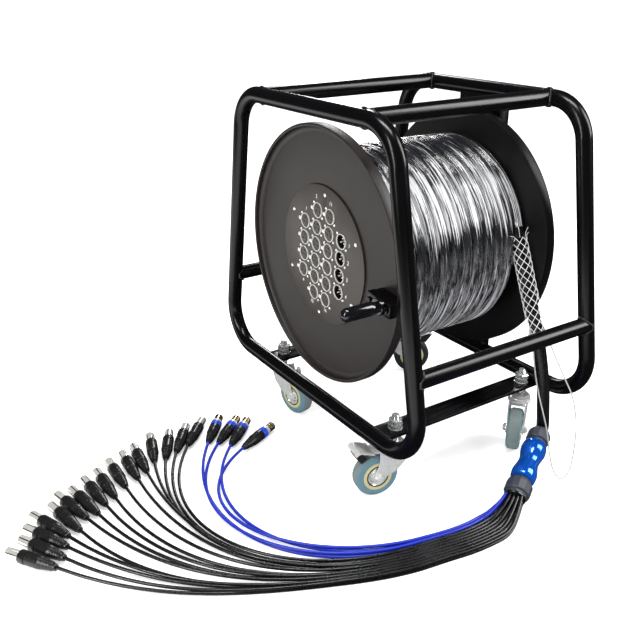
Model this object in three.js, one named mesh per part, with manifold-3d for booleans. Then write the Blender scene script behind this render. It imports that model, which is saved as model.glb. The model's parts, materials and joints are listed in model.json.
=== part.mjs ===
// Stage box snake: a multicore cable on a drum, in a tubular frame on four swivel casters.
// Millimetres, +Z up. X is the drum's axle, with the socket panel at the -X end.
import * as THREE from 'three';
import { mergeVertices } from 'three/addons/utils/BufferGeometryUtils.js';
import Module from 'manifold-3d';

const wasm = await Module();
wasm.setup();

// Clearances and overruns
const gap = 0.3;
const runningGap = 0.3;
const overrun = 5;
const mergeDistance = 1e-3;

// Facets round each kind of piece
const tubeSides = 8;
const bendSteps = 4;
const drumSides = 28;
const shaftSides = 16;
const socketSides = 8;
const casterSides = 10;
const boltSides = 8;
const wheelSides = 16;
const cordSides = 8;
const windingSides = 6;
const windingSteps = 24;
const trunkSteps = 14;
const pullSteps = 18;
const tailSides = 6;
const plugSides = 8;
const nutSides = 6;

// Tube frame
const tubeDiameter = 25;
const hoopSpacing = 342.4;
const hoopHeight = 454.3;
const hoopBottomDepth = 552.5;
const hoopTopDepth = 394.8;
const hoopBendRadius = 64;
const hoopLift = 114.5;
const topTubeOffset = 133;
const lowTubeHeight = 241;
const barWidth = 40;
const barThickness = 5;
const barTop = 108;
const barOffset = 158;
const postWidth = 95;
const postThickness = 20;
const postShift = 2;

// Drum
const axleHeight = 342.8;
const drumAngle = 5.4;
const flangeDiameter = 400;
const flangeWeb = 6;
const lipWall = 5;
const leftLip = 10.3;
const rightLip = 17.5;
const leftWebOuter = -147.2;
const rightWebInner = 125;
const cableDiameter = 20;
const windingRadius = 150;
const windingTurnCount = 11.25;
const windingFirst = -130;
const windingLast = 112;
const leaveAngle = 22.5;
const barrelWall = 4;
const hubLength = 95;
const hubWall = 8;
const hubCap = 6;
const hubCapGap = 3;
const shaftDiameter = 25;
const collarDiameter = 60;
const collarThickness = 7;
const bossDiameter = 56;

// Socket panel
const panelThickness = 2;
const panelLap = 18;
const socketMargin = 3.5;
const columnShares = [1.5, 0.5, -0.5, -1.5];
const rowShares = [2.5, 1.5, 0.5, -0.5, -1.5, -2.5];
const rowPitch = 27.4;
const columnPitch = 32.8;
const ringDiameter = 23.8;
const ringWall = 2.2;
const ringProud = 2;
const insertRecess = 1.5;
const maleDepth = 10;
const femaleFlange = 2.5;
const maleFlange = 9;
const flangeLap = 0.1;
const panelScrewCount = 6;
const panelScrewInset = 13;
const panelScrewDiameter = 6;
const panelScrewHeight = 1.2;

// Crank
const crankRadius = 181;
const bracketBaseInner = 152;
const bracketBaseOuter = 193;
const bracketHeadInner = 150;
const bracketHeadOuter = 203;
const bracketHeight = 22;
const bracketBaseTop = 160;
const bracketHeadTop = 174;
const crankPinDiameter = 8;
const crankPinLength = 46;
const gripLength = 64;
const gripDiameter = 20;
const gripCollarDiameter = 25;
const gripCollarLength = 6;
const gripNeckShare = 0.8;
const gripDomeShares = [0, 0.25, 0.5, 0.75];

// Casters
// The front stems' places and the rear left one's are read off the photograph
const frontStems = [-123, 146];
const rearStems = [-128.5, 132];
const stemY = 160;
const stemDiameter = 12;
const stemTop = 132;
const stemFoot = 74;
const raceDiameter = 34;
const raceThickness = 6;
const nutWidth = 20;
const nutHeight = 9;
const lockNutHeight = 7;
const lockNutAngle = 20;
const wheelDiameter = 70;
const wheelWidth = 22;
const wheelTrail = 32;
const wheelAxleDiameter = 8;
const hubBulge = 1;
const treadRound = 3;
const webDiameter = 43;
const forkPlate = 2.5;
const forkSideGap = 1.2;
const forkTop = 80;
const forkHeadHeight = 8;
const forkHeadDiameter = 38;
const forkCrown = 3;
const forkEye = 8;
const pedalPivotX = 24;
const pedalPivotZ = 76.5;
const pedalPinDiameter = 5;
const pedalKnuckle = 10;
const pedalWidth = 36;
const pedalPlate = 2.5;
const pedalReach = 40;
const pedalRise = 11;
const pedalBlockWidth = 18;
const pedalBlockThickness = 12;
const pedalBlockHeight = 28;
const pedalBlockAngle = 36;
const pedalNeck = 18;
const pedalToe = 7;
const pedalRootShare = 0.45;

// Trunk cable, its wire grip and the breakout
const gripSockStart = 25;
const gripSockLength = 155;
const gripSockDiameter = 24.8;
const ferruleDiameter = 29;
const ferruleLength = 6;
const pullWire = 2;
const glandIn = [109, -243, 64];
const glandOut = [-6, -304, 21];
const nutInLength = 28;
const nutInDiameter = 36;
const nutOutLength = 32;
const nutOutDiameter = 40;
const barrelBulge = 39;
const barrelWaist = 31;
const nutCollarShare = 0.86;
const nutStationShares = [0, 0.18, 0.24, 0.8, 0.86, 1];
const barrelStationShares = [0, 0.06, 0.18, 0.32, 0.45, 0.55, 0.68, 0.82, 0.94, 1];
const barrelBulgeShares = [0.86, 0.97, 1, 0.93];

// Tails and their plugs
const tailDiameter = 5;
const lanePitch = 5.3;
const colourGap = 1.2;
const laneRowCount = 2;
const exitRowCount = 4;
const blackTailCount = 16;
const sealThickness = 3;
const spreadShare = 0.3;
const middleShare = 0.5;
const bundleShares = [0.12, 0.3, 0.45];
const branchShares = [0.86, 0.56];
const freeShares = [0.22, 0.42, 0.62, 0.82];
const arcShare = 0.73;
const plugDiameter = 19.5;
const bootDiameter = 14;
const bootTip = 8.6;
const bootLength = 28;
const plugLength = 84;

const half = (value) => value / 2;
const tubeRadius = half(tubeDiameter);
const cableRadius = half(cableDiameter);
const hoopX = half(hoopSpacing);
const hoopTop = hoopLift + hoopHeight;
const panelBack = leftWebOuter - gap;
const panelFace = panelBack - panelThickness;

// Materials
const material = (name, colour, roughness, metalness) =>
  new THREE.MeshStandardMaterial({ name, color: colour, roughness, metalness });
const blackPaint = material('black_paint', 0x141416, 0.32, 0.1);
const mattBlack = material('matt_black', 0x2a2826, 0.7, 0);
const film = material('film_wrapped_cable', 0x4a4c50, 0.2, 0.1);
const blackRubber = material('black_rubber', 0x17171a, 0.6, 0);
const zinc = material('zinc_plate', 0xb4b6b8, 0.35, 1);
const steel = material('bright_steel', 0xc8c8ca, 0.3, 1);
const tread = material('blue_grey_tyre', 0x6b8793, 0.7, 0);
const socketMetal = material('socket_metal', 0x9a9a98, 0.35, 0.8);
const socketBlack = material('socket_black', 0x1a1a1c, 0.5, 0);
const blueGloss = material('blue_gloss', 0x0b2f9c, 0.15, 0.1);
const darkPlastic = material('dark_plastic', 0x26282e, 0.45, 0);
const blueSheath = material('blue_sheath', 0x1c3fae, 0.45, 0);
const plugBlack = material('plug_black', 0x121214, 0.35, 0);
const plugBlue = material('plug_blue', 0x1a3a9e, 0.35, 0);

// Closed solids for the cuts and joins
function toSolid(geometry) {
  const plain = new THREE.BufferGeometry();
  plain.setAttribute('position', geometry.getAttribute('position').clone());
  if (geometry.index) plain.setIndex(geometry.index.clone());
  const merged = mergeVertices(plain, mergeDistance);
  const vertices = Float32Array.from(merged.getAttribute('position').array);
  const corners = [];
  const index = merged.index.array;
  for (let i = 0; i < index.length; i += 3) {
    const [a, b, c] = [index[i], index[i + 1], index[i + 2]];
    if (a !== b && b !== c && a !== c) corners.push(a, b, c);
  }
  const triVerts = Uint32Array.from(corners);
  return new wasm.Manifold(new wasm.Mesh({ numProp: 3, vertProperties: vertices, triVerts }));
}

function toGeometry(solid) {
  const mesh = solid.getMesh();
  const geometry = new THREE.BufferGeometry();
  geometry.setAttribute('position', new THREE.BufferAttribute(mesh.vertProperties, 3));
  geometry.setIndex(new THREE.BufferAttribute(mesh.triVerts, 1));
  geometry.computeVertexNormals();
  return geometry;
}

function build(adds, cuts = []) {
  let solid = toSolid(adds[0]);
  for (const piece of adds.slice(1)) solid = solid.add(toSolid(piece));
  for (const piece of cuts) solid = solid.subtract(toSolid(piece));
  return toGeometry(solid);
}

// A box between two corners
function boxBetween(low, high) {
  const size = high.map((value, i) => value - low[i]);
  const geometry = new THREE.BoxGeometry(size[0], size[1], size[2]);
  return geometry.translate(low[0] + half(size[0]), low[1] + half(size[1]), low[2] + half(size[2]));
}

// A cylinder along X, Y or Z from one place on that axis to another
function rod(axis, from, to, radius, sides, centre = [0, 0]) {
  const geometry = new THREE.CylinderGeometry(radius, radius, to - from, sides);
  geometry.rotateY(Math.PI / sides);
  geometry.translate(0, half(from + to), 0);
  if (axis === 'x') geometry.rotateZ(-Math.PI / 2).translate(0, centre[0], centre[1]);
  if (axis === 'y') geometry.translate(centre[0], 0, centre[1]);
  if (axis === 'z') geometry.rotateX(Math.PI / 2).translate(centre[0], centre[1], 0);
  return geometry;
}

// A turned piece along +X: points are [place along the axis, radius], closed on the axis or on themselves
function turned(points, sides) {
  const profile = points.map(([along, radius]) => new THREE.Vector2(radius, along));
  if (THREE.ShapeUtils.area(profile) < 0) profile.reverse();
  const geometry = new THREE.LatheGeometry(profile, sides);
  return geometry.rotateZ(-Math.PI / 2);
}

// The radius of a bore's corners that keeps its flats clear of a shaft
const boreRadius = (shaft, sides) => (half(shaft) + runningGap) / Math.cos(Math.PI / sides);

// A tube swept through rings of points, closed on itself or with flat ends
function skin(rings, closed) {
  const sides = rings[0].length;
  const vertices = rings.flat().flatMap((p) => [p.x, p.y, p.z]);
  const index = [];
  const count = rings.length;
  const spans = closed ? count : count - 1;
  for (let i = 0; i < spans; i += 1) {
    const next = (i + 1) % count;
    for (let j = 0; j < sides; j += 1) {
      const k = (j + 1) % sides;
      const [a, b] = [i * sides + j, i * sides + k];
      const [c, d] = [next * sides + k, next * sides + j];
      index.push(a, b, c, a, c, d);
    }
  }
  if (!closed) {
    const last = (count - 1) * sides;
    for (let j = 1; j < sides - 1; j += 1) {
      index.push(0, j + 1, j);
      index.push(last, last + j, last + j + 1);
    }
  }
  const geometry = new THREE.BufferGeometry();
  geometry.setAttribute('position', new THREE.BufferAttribute(Float32Array.from(vertices), 3));
  geometry.setIndex(index);
  return geometry;
}

// A cord's tube along a curve
function cordTube(curve, radius, sides, steps) {
  const section = new THREE.Shape();
  for (let i = 0; i < sides; i += 1) {
    const angle = (2 * Math.PI * i) / sides;
    const [x, y] = [radius * Math.cos(angle), radius * Math.sin(angle)];
    if (i === 0) section.moveTo(x, y);
    else section.lineTo(x, y);
  }
  section.closePath();
  return new THREE.ExtrudeGeometry(section, { steps, extrudePath: curve, curveSegments: 1 });
}

// Frame: two bent hoops, four cross tubes, two caster bars and the drum's post

function hoopPath() {
  const [low, high] = [half(hoopBottomDepth), half(hoopTopDepth)];
  const corners = [[-low, hoopLift], [low, hoopLift], [high, hoopTop], [-high, hoopTop]];
  const path = [];
  corners.forEach((corner, i) => {
    const here = new THREE.Vector2(...corner);
    const before = new THREE.Vector2(...corners[(i + 3) % 4]).sub(here).normalize();
    const after = new THREE.Vector2(...corners[(i + 1) % 4]).sub(here).normalize();
    const angle = Math.acos(before.dot(after));
    const middle = before.clone().add(after).normalize();
    const centre = here.clone().addScaledVector(middle, hoopBendRadius / Math.sin(half(angle)));
    const sweep = Math.PI - angle;
    const start = middle.clone().negate().angle() - half(sweep);
    for (let k = 0; k <= bendSteps; k += 1) {
      const turn = start + (sweep * k) / bendSteps;
      const normal = new THREE.Vector2(Math.cos(turn), Math.sin(turn));
      path.push({ point: centre.clone().addScaledVector(normal, hoopBendRadius), normal });
    }
  });
  return path;
}

function hoop(x, radius) {
  const sides = tubeSides;
  const rings = hoopPath().map(({ point, normal }) =>
    Array.from({ length: sides }, (_, j) => {
      const angle = (2 * Math.PI * j) / sides;
      const [side, out] = [radius * Math.sin(angle), radius * Math.cos(angle)];
      return new THREE.Vector3(x - side, point.x + out * normal.x, point.y + out * normal.y);
    }));
  return skin(rings, true);
}

const hoopCuts = () => [hoop(-hoopX, tubeRadius + gap), hoop(hoopX, tubeRadius + gap)];

const sideLean = half(hoopBottomDepth - hoopTopDepth) / hoopHeight;
const lowTubeOffset = half(hoopBottomDepth) - (lowTubeHeight - hoopLift) * sideLean;

function crossTube(y, z) {
  return build([rod('x', -hoopX, hoopX, tubeRadius, tubeSides, [y, z])], hoopCuts());
}

function casterBar(side) {
  const y = side * barOffset;
  const reach = hoopX - tubeRadius / 2;
  const low = [-reach, y - half(barWidth), barTop - barThickness];
  const high = [reach, y + half(barWidth), barTop];
  const hole = half(stemDiameter) + gap;
  const holes = (side < 0 ? frontStems : rearStems).map((x) =>
    rod('z', barTop - barThickness - overrun, barTop + overrun, hole, boltSides, [x, side * stemY]));
  return build([boxBetween(low, high)], [...hoopCuts(), ...holes]);
}

const postInner = hoopX - half(postThickness);
const postOuter = hoopX + half(postThickness);

function drumPost() {
  const low = [postInner, postShift - half(postWidth), hoopLift];
  const high = [postOuter, postShift + half(postWidth), hoopTop];
  const bore = rod('x', postInner - overrun, postOuter + overrun, half(shaftDiameter) + gap, shaftSides,
    [0, axleHeight]);
  return build([boxBetween(low, high)], [hoop(hoopX, tubeRadius + gap), bore]);
}

// The hub is closed at its inner end by a cap, which the spindle stops short of
const hubInner = rightWebInner - gap - hubLength;
const shaftInner = hubInner + hubCap + hubCapGap;

function spindle() {
  const radius = half(shaftDiameter);
  const collar = half(collarDiameter);
  const face = postInner - gap;
  const points = [[shaftInner, 0], [shaftInner, radius], [face - collarThickness, radius],
    [face - collarThickness, collar], [face, collar], [face, radius], [postOuter, radius], [postOuter, 0]];
  return turned(points, shaftSides).translate(0, 0, axleHeight);
}

// Drum: everything here is drawn about the axle and turned with it

const flangeRadius = half(flangeDiameter);

// Sockets stand in four columns on the panel, the two middle ones two rows longer
const columns = columnShares.map((share) => share * columnPitch);
const rows = rowShares.map((share) => share * rowPitch);
const outerRows = rows.slice(1, -1);
const maleColumn = columns[3];
const openingRadius = Math.hypot(columns[1] + half(columnPitch), rows[0] + half(rowPitch)) + socketMargin;
const panelRadius = openingRadius + panelLap;

const femalePlaces = [
  ...outerRows.map((z) => [columns[0], z]),
  ...rows.map((z) => [columns[1], z]),
  ...rows.map((z) => [columns[2], z]),
];
const malePlaces = outerRows.map((z) => [maleColumn, z]);
const ringRadius = half(ringDiameter);
const socketBack = panelBack + gap;
const femaleWidth = columnPitch + flangeLap;
const maleWidth = columnPitch - 2 * gap;

function leftFlange() {
  const inner = leftWebOuter + flangeWeb;
  const lip = leftWebOuter - leftLip;
  const opening = openingRadius;
  const points = [[inner, opening], [leftWebOuter, opening], [leftWebOuter, flangeRadius - lipWall],
    [lip, flangeRadius - lipWall], [lip, flangeRadius], [inner, flangeRadius], [inner, opening]];
  return turned(points, drumSides);
}

function rightFlange() {
  const outer = rightWebInner + flangeWeb;
  const lip = rightWebInner + rightLip;
  const bore = boreRadius(shaftDiameter, drumSides);
  const boss = half(bossDiameter);
  const bossEnd = postInner - gap - collarThickness - gap;
  const points = [[rightWebInner, bore], [rightWebInner, flangeRadius], [lip, flangeRadius],
    [lip, flangeRadius - lipWall], [outer, flangeRadius - lipWall], [outer, boss], [bossEnd, boss],
    [bossEnd, bore], [rightWebInner, bore]];
  return turned(points, drumSides);
}

const windingInner = (windingRadius - cableRadius) * Math.cos(Math.PI / windingSteps);
const barrelRadius = windingInner - gap;

function drumBarrel() {
  const left = leftWebOuter + flangeWeb + gap;
  const right = rightWebInner - gap;
  const bore = boreRadius(shaftDiameter, drumSides);
  const inside = barrelRadius - barrelWall;
  const points = [[hubInner, 0], [hubInner, bore + hubWall], [right - flangeWeb, bore + hubWall],
    [right - flangeWeb, inside], [left, inside], [left, barrelRadius], [right, barrelRadius], [right, bore],
    [hubInner + hubCap, bore], [hubInner + hubCap, 0]];
  return turned(points, drumSides);
}

// The outer layer: one unbroken helix with a straight end at each side
const windingPitch = (windingLast - windingFirst) / windingTurnCount;
const windingEndAngle = Math.PI + THREE.MathUtils.degToRad(leaveAngle);

function windingFrame(turn) {
  const along = Math.min(Math.max(turn, 0), windingTurnCount);
  const angle = windingEndAngle - THREE.MathUtils.degToRad(leaveAngle) * 2
    - (windingTurnCount - along) * 2 * Math.PI;
  const out = new THREE.Vector3(0, Math.cos(angle), Math.sin(angle));
  const tangent = new THREE.Vector3(0, -Math.sin(angle), Math.cos(angle));
  const centre = out.clone().multiplyScalar(windingRadius);
  centre.x = windingFirst + along * windingPitch;
  centre.addScaledVector(tangent, (turn - along) * 2 * Math.PI * windingRadius);
  return { centre, out, tangent };
}

const windingStraight = cableDiameter / (2 * Math.PI * windingRadius);

function cableWinding() {
  const sides = windingSides;
  const steps = Math.round(windingTurnCount * windingSteps);
  const turns = [-windingStraight];
  for (let i = 0; i <= steps; i += 1) turns.push((windingTurnCount * i) / steps);
  turns.push(windingTurnCount + windingStraight);
  const centres = turns.map((turn) => windingFrame(turn).centre);
  let closest = Infinity;
  centres.forEach((p, i) => centres.slice(i + windingSteps / 2).forEach((q) => {
    closest = Math.min(closest, p.distanceTo(q) - cableDiameter);
  }));
  console.log(`winding: least gap to itself ${closest.toFixed(2)} mm`);
  const rings = turns.map((turn) => {
    const { centre, out } = windingFrame(turn);
    return Array.from({ length: sides }, (_, j) => {
      const angle = (2 * Math.PI * j) / sides;
      const side = new THREE.Vector3(-cableRadius * Math.sin(angle), 0, 0);
      return centre.clone().addScaledVector(out, cableRadius * Math.cos(angle)).add(side);
    });
  });
  return skin(rings, false);
}

function connectorPanel() {
  const circle = panelRadius - panelScrewInset;
  const screws = Array.from({ length: panelScrewCount }, (_, i) => {
    const angle = ((2 * i + 1) * Math.PI) / panelScrewCount;
    const place = [circle * Math.cos(angle), circle * Math.sin(angle)];
    const [from, to] = [panelFace - panelScrewHeight, panelFace + half(panelThickness)];
    return rod('x', from, to, half(panelScrewDiameter), nutSides, place);
  });
  const holes = [...femalePlaces, ...malePlaces].map((place) =>
    rod('x', panelFace - overrun, panelBack + overrun, ringRadius + gap, socketSides, place));
  const disc = rod('x', panelFace, panelBack, panelRadius, drumSides);
  return build([disc, ...screws], holes);
}

function sockets(places, recess, plateWidth, plateThickness) {
  const front = panelFace - ringProud;
  const back = socketBack + plateThickness;
  const plates = [...new Set(places.map(([y]) => y))].map((y) => {
    const heights = places.filter((place) => place[0] === y).map((place) => place[1]);
    const low = [socketBack, y - half(plateWidth), Math.min(...heights) - half(rowPitch)];
    const high = [back, y + half(plateWidth), Math.max(...heights) + half(rowPitch)];
    return boxBetween(low, high);
  });
  const rings = places.map((place) =>
    rod('x', front, socketBack + half(plateThickness), ringRadius, socketSides, place));
  const mouths = places.map((place) =>
    rod('x', front - overrun, front + recess, ringRadius - ringWall, socketSides, place));
  return build([...plates, ...rings], mouths);
}

function crankBracket() {
  const height = half(bracketHeight);
  const base = boxBetween([-bracketBaseTop, -bracketBaseOuter, -height],
    [leftWebOuter - gap, -bracketBaseInner, height]);
  const head = boxBetween([-bracketHeadTop, -bracketHeadOuter, -height],
    [-bracketBaseTop, -bracketHeadInner, height]);
  const pin = rod('x', -bracketHeadTop - crankPinLength, -bracketHeadTop + overrun,
    half(crankPinDiameter), boltSides, [-crankRadius, 0]);
  return build([base, head, pin]);
}

function crankGrip() {
  const bore = boreRadius(crankPinDiameter, boltSides);
  const radius = half(gripDiameter);
  const collar = half(gripCollarDiameter);
  const start = bracketHeadTop + gap;
  const end = start + gripLength;
  const depth = bracketHeadTop + crankPinLength + gap;
  const dome = gripDomeShares.map((share) => {
    const angle = share * half(Math.PI);
    return [end - radius + radius * Math.sin(angle), radius * Math.cos(angle)];
  });
  const points = [[start, bore], [start, collar], [start + gripCollarLength, collar],
    [start + gripCollarLength, radius * gripNeckShare], [start + gripCollarLength * 2, radius], ...dome,
    [end, 0], [depth, 0], [depth, bore], [start, bore]];
  const geometry = turned(points, boltSides);
  return geometry.rotateZ(Math.PI).translate(0, -crankRadius, 0);
}

// Casters: drawn with the swivel axis on Z and the wheel trailing towards +X

const forkInside = half(wheelWidth) + forkSideGap;
const forkOutside = forkInside + forkPlate;
const wheelRadius = half(wheelDiameter);

function casterStem() {
  const radius = half(stemDiameter);
  const nut = half(nutWidth) / Math.cos(Math.PI / nutSides);
  const below = barTop - barThickness - gap;
  const above = barTop + gap;
  return build([
    rod('z', stemFoot, stemTop, radius, boltSides),
    rod('z', forkTop + gap, forkTop + gap + raceThickness, half(raceDiameter), casterSides),
    rod('z', below - nutHeight, below, nut, nutSides),
    rod('z', above, above + nutHeight, nut, nutSides),
    rod('z', above + nutHeight, above + nutHeight + lockNutHeight, nut, nutSides)
      .rotateZ(THREE.MathUtils.degToRad(lockNutAngle)),
  ]);
}

function forkArm(y) {
  const neck = forkTop - forkHeadHeight;
  const reach = half(forkHeadDiameter) - forkPlate;
  const ear = half(pedalKnuckle);
  const outline = [
    [-reach, neck], [-reach + ear, neck - half(forkHeadDiameter)],
    [wheelTrail - forkEye, wheelRadius - forkEye / 2], [wheelTrail, wheelRadius - forkEye],
    [wheelTrail + forkEye, wheelRadius], [wheelTrail + forkEye / 2, wheelRadius + forkEye],
    [pedalPivotX + ear, pedalPivotZ], [pedalPivotX + ear / 2, pedalPivotZ + ear],
    [pedalPivotX - ear, pedalPivotZ + ear / 2], [reach, neck],
  ];
  const shape = new THREE.Shape(outline.map(([x, z]) => new THREE.Vector2(x, z)));
  const plate = new THREE.ExtrudeGeometry(shape, { depth: forkPlate, bevelEnabled: false });
  return plate.rotateX(Math.PI / 2).translate(0, y + forkPlate, 0);
}

function casterFork(braked) {
  const neck = forkTop - forkHeadHeight;
  const reach = half(forkHeadDiameter) - forkPlate;
  const adds = [
    rod('z', neck - half(forkCrown), forkTop, half(forkHeadDiameter), casterSides),
    boxBetween([-reach, -forkOutside, neck - forkCrown], [reach, forkOutside, neck]),
    forkArm(-forkOutside), forkArm(forkInside),
    rod('y', -forkOutside - forkPlate, forkOutside + forkPlate, half(wheelAxleDiameter), boltSides,
      [wheelTrail, wheelRadius]),
  ];
  if (braked) {
    const pivot = [pedalPivotX, pedalPivotZ];
    adds.push(rod('y', -forkOutside, forkOutside, half(pedalPinDiameter), plugSides, pivot));
  }
  const bore = boreRadius(stemDiameter, boltSides);
  const socket = rod('z', stemFoot - gap, forkTop + overrun, bore, boltSides);
  return build(adds, [socket]);
}

function casterWheel() {
  const bore = boreRadius(wheelAxleDiameter, wheelSides);
  const side = half(wheelWidth);
  const rim = half(webDiameter);
  const hub = bore + forkEye / 2;
  const points = [[-side - hubBulge, bore], [-side - hubBulge, hub], [-side, rim],
    [-side, wheelRadius - treadRound], [-side + treadRound, wheelRadius], [side - treadRound, wheelRadius],
    [side, wheelRadius - treadRound], [side, rim], [side + hubBulge, hub], [side + hubBulge, bore],
    [-side - hubBulge, bore]];
  return turned(points, wheelSides).rotateZ(Math.PI / 2).translate(wheelTrail, 0, wheelRadius);
}

function brakePedal() {
  const ear = half(pedalKnuckle);
  const inside = forkInside - gap;
  const pivot = [pedalPivotX, pedalPivotZ];
  const toe = pedalReach + pedalToe;
  const outline = [
    [0, -half(ear)], [ear, 0], [pedalNeck, pedalRise / 3], [pedalReach, pedalRise],
    [pedalReach + ear, pedalRise - ear], [toe, pedalRise - ear + pedalPlate],
    [pedalReach, pedalRise + pedalPlate], [pedalNeck - pedalPlate, pedalRise / 3 + pedalPlate],
    [0, pedalKnuckle * pedalRootShare],
  ].map(([x, z]) => new THREE.Vector2(pedalPivotX + x, pedalPivotZ + z));
  const slab = (points, width) => {
    const plate = new THREE.ExtrudeGeometry(new THREE.Shape(points), { depth: width, bevelEnabled: false });
    return plate.rotateX(Math.PI / 2).translate(0, half(width), 0);
  };
  const tongue = slab(outline, inside * 2);
  const treadle = slab(outline.slice(2, 8), pedalWidth);
  const block = new THREE.BoxGeometry(pedalBlockThickness, pedalBlockWidth, pedalBlockHeight);
  const lean = THREE.MathUtils.degToRad(pedalBlockAngle);
  const away = wheelRadius + pedalPlate + half(pedalBlockHeight);
  block.rotateY(lean);
  block.translate(wheelTrail + away * Math.sin(lean), 0, wheelRadius + away * Math.cos(lean));
  const knuckle = rod('y', -inside, inside, ear, boltSides, pivot);
  const hole = rod('y', -pedalWidth, pedalWidth, boreRadius(pedalPinDiameter, boltSides), boltSides, pivot);
  return build([knuckle, tongue, treadle, block], [hole]);
}

// Trunk cable: straight off the winding, then down behind the low front tube to the breakout

const leave = THREE.MathUtils.degToRad(leaveAngle);
const leavePoint = new THREE.Vector3(windingLast, -windingRadius * Math.cos(leave),
  axleHeight + windingRadius * Math.sin(leave));
const leaveDirection = new THREE.Vector3(0, -Math.sin(leave), -Math.cos(leave));
const inDirection = new THREE.Vector3(...glandOut).sub(new THREE.Vector3(...glandIn)).normalize();
const trunkStart = leavePoint.clone().addScaledVector(leaveDirection, cableDiameter + gap);
const trunkEnd = new THREE.Vector3(...glandIn).addScaledVector(inDirection, -gap);

// The route's points lie by hand on what the photograph shows
const trunkPoints = [
  [112, -161.6, 344.8], [112, -178.8, 303.2], [112, -195.3, 263.4], [112, -211.2, 224],
  [112.5, -224.5, 182], [113, -234, 140], [113, -239, 105],
];

function trunkCurve() {
  const points = trunkPoints.map((p) => new THREE.Vector3(...p));
  const lead = trunkEnd.clone().addScaledVector(inDirection, -cableRadius);
  return new THREE.CatmullRomCurve3([trunkStart, ...points, lead, trunkEnd], false, 'centripetal');
}

// The wire grip: a woven sock on the straight stretch, with its pull loop hanging from the lower end
const pullPoints = [
  [99, -206, 237.6], [91, -223, 215], [78, -240, 197], [72, -252, 176], [72, -262, 150], [76, -281, 98],
  [79, -290, 57], [84, -297, 30], [99, -301, 12], [115, -301, 18], [128, -296, 59], [133, -288, 102],
  [129, -278, 140], [123, -266, 165], [121, -245, 194], [124, -222, 220], [125, -206, 237.6],
];

function cableGrip() {
  const start = leavePoint.clone().addScaledVector(leaveDirection, gripSockStart);
  const inner = (cableRadius + 2 * gap) / Math.cos(Math.PI / tubeSides);
  const outer = half(gripSockDiameter);
  const ferrule = half(ferruleDiameter);
  const ferruleStart = gripSockLength - ferruleLength;
  const sock = turned([[0, inner], [0, outer], [ferruleStart, outer], [ferruleStart, ferrule],
    [gripSockLength, ferrule], [gripSockLength, inner], [0, inner]], tubeSides);
  const turn = new THREE.Quaternion().setFromUnitVectors(new THREE.Vector3(1, 0, 0), leaveDirection);
  sock.applyQuaternion(turn).translate(start.x, start.y, start.z);
  const loopPoints = pullPoints.map((p) => new THREE.Vector3(...p));
  const loop = new THREE.CatmullRomCurve3(loopPoints, false, 'centripetal');
  return build([sock, cordTube(loop, half(pullWire), cordSides, pullSteps)]);
}

// The breakout: a nut on the trunk, a waisted barrel and a nut that the tails leave
const breakoutLength = new THREE.Vector3(...glandIn).distanceTo(new THREE.Vector3(...glandOut));
const barrelLength = breakoutLength - nutInLength - nutOutLength;

function onBreakout(geometry, along) {
  const turn = new THREE.Quaternion().setFromUnitVectors(new THREE.Vector3(1, 0, 0), inDirection);
  const place = new THREE.Vector3(...glandIn).addScaledVector(inDirection, along);
  return geometry.applyQuaternion(turn).translate(place.x, place.y, place.z);
}

function glandNut(length, diameter, along) {
  const radius = half(diameter);
  const collar = radius * nutCollarShare;
  const radii = [collar, collar, radius, radius, collar, collar];
  const points = nutStationShares.map((share, i) => [length * share, radii[i]]);
  return onBreakout(turned([[0, 0], ...points, [length, 0]], tubeSides), along);
}

function breakoutBarrel() {
  const length = barrelLength - 2 * gap;
  const bulge = barrelBulgeShares.map((share) => half(barrelBulge) * share);
  const radii = [...bulge, half(barrelWaist), half(barrelWaist), ...bulge.toReversed()];
  const points = barrelStationShares.map((share, i) => [share * length, radii[i]]);
  return onBreakout(turned([[0, 0], ...points, [length, 0]], casterSides), nutInLength + gap);
}

// Tails: twenty cords leave the breakout in a stack, lie down two deep and fan out to their plugs

// Where the tails lie as a bundle, chosen by hand
const bundlePoints = [[-34, -314, 12], [-62, -321, 6], [-115, -321, 5], [-164, -313, 5], [-212, -305, 5],
  [-275, -285, 5], [-348, -247, 5]];

// Each plug's tail end and heading in degrees, read off the photograph
const plugPlaces = [
  [-620, -65, 124], [-605, -52, 119], [-595, -31, 117], [-587, -9, 111], [-569, -5, 103],
  [-552, 17, 104], [-535, 18, 100], [-518, 33, 95], [-500, 43, 91], [-477, 60, 89],
  [-453, 70, 87], [-434, 81, 84], [-413, 101, 73], [-394, 99, 63], [-371, 108, 55],
  [-346, 117, 48], [-314, 105, 51], [-300, 94, 41], [-285, 77, 43], [-272, 57, 25],
];

const plugLift = half(plugDiameter) * Math.cos(Math.PI / plugSides);
const outDirection = inDirection;
const exitPoint = new THREE.Vector3(...glandOut).addScaledVector(outDirection, gap);
const bundle = new THREE.CatmullRomCurve3(
  [exitPoint, ...bundlePoints.map((p) => new THREE.Vector3(...p))], false, 'centripetal');

// The right-hand side and the upper side of a cord that runs along a tangent
function sidesOf(tangent) {
  const right = new THREE.Vector3(tangent.y, -tangent.x, 0).normalize();
  return { right, up: right.clone().cross(tangent).normalize() };
}

// Where a column of four stands across the bundle, which is twice as wide once it is spread
function columnPlace(column, spread) {
  const blackColumns = blackTailCount / exitRowCount;
  const step = (column - blackColumns + middleShare) * lanePitch * (1 + spread);
  return step + (column >= blackColumns ? colourGap : 0) + centreShift(spread);
}

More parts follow.
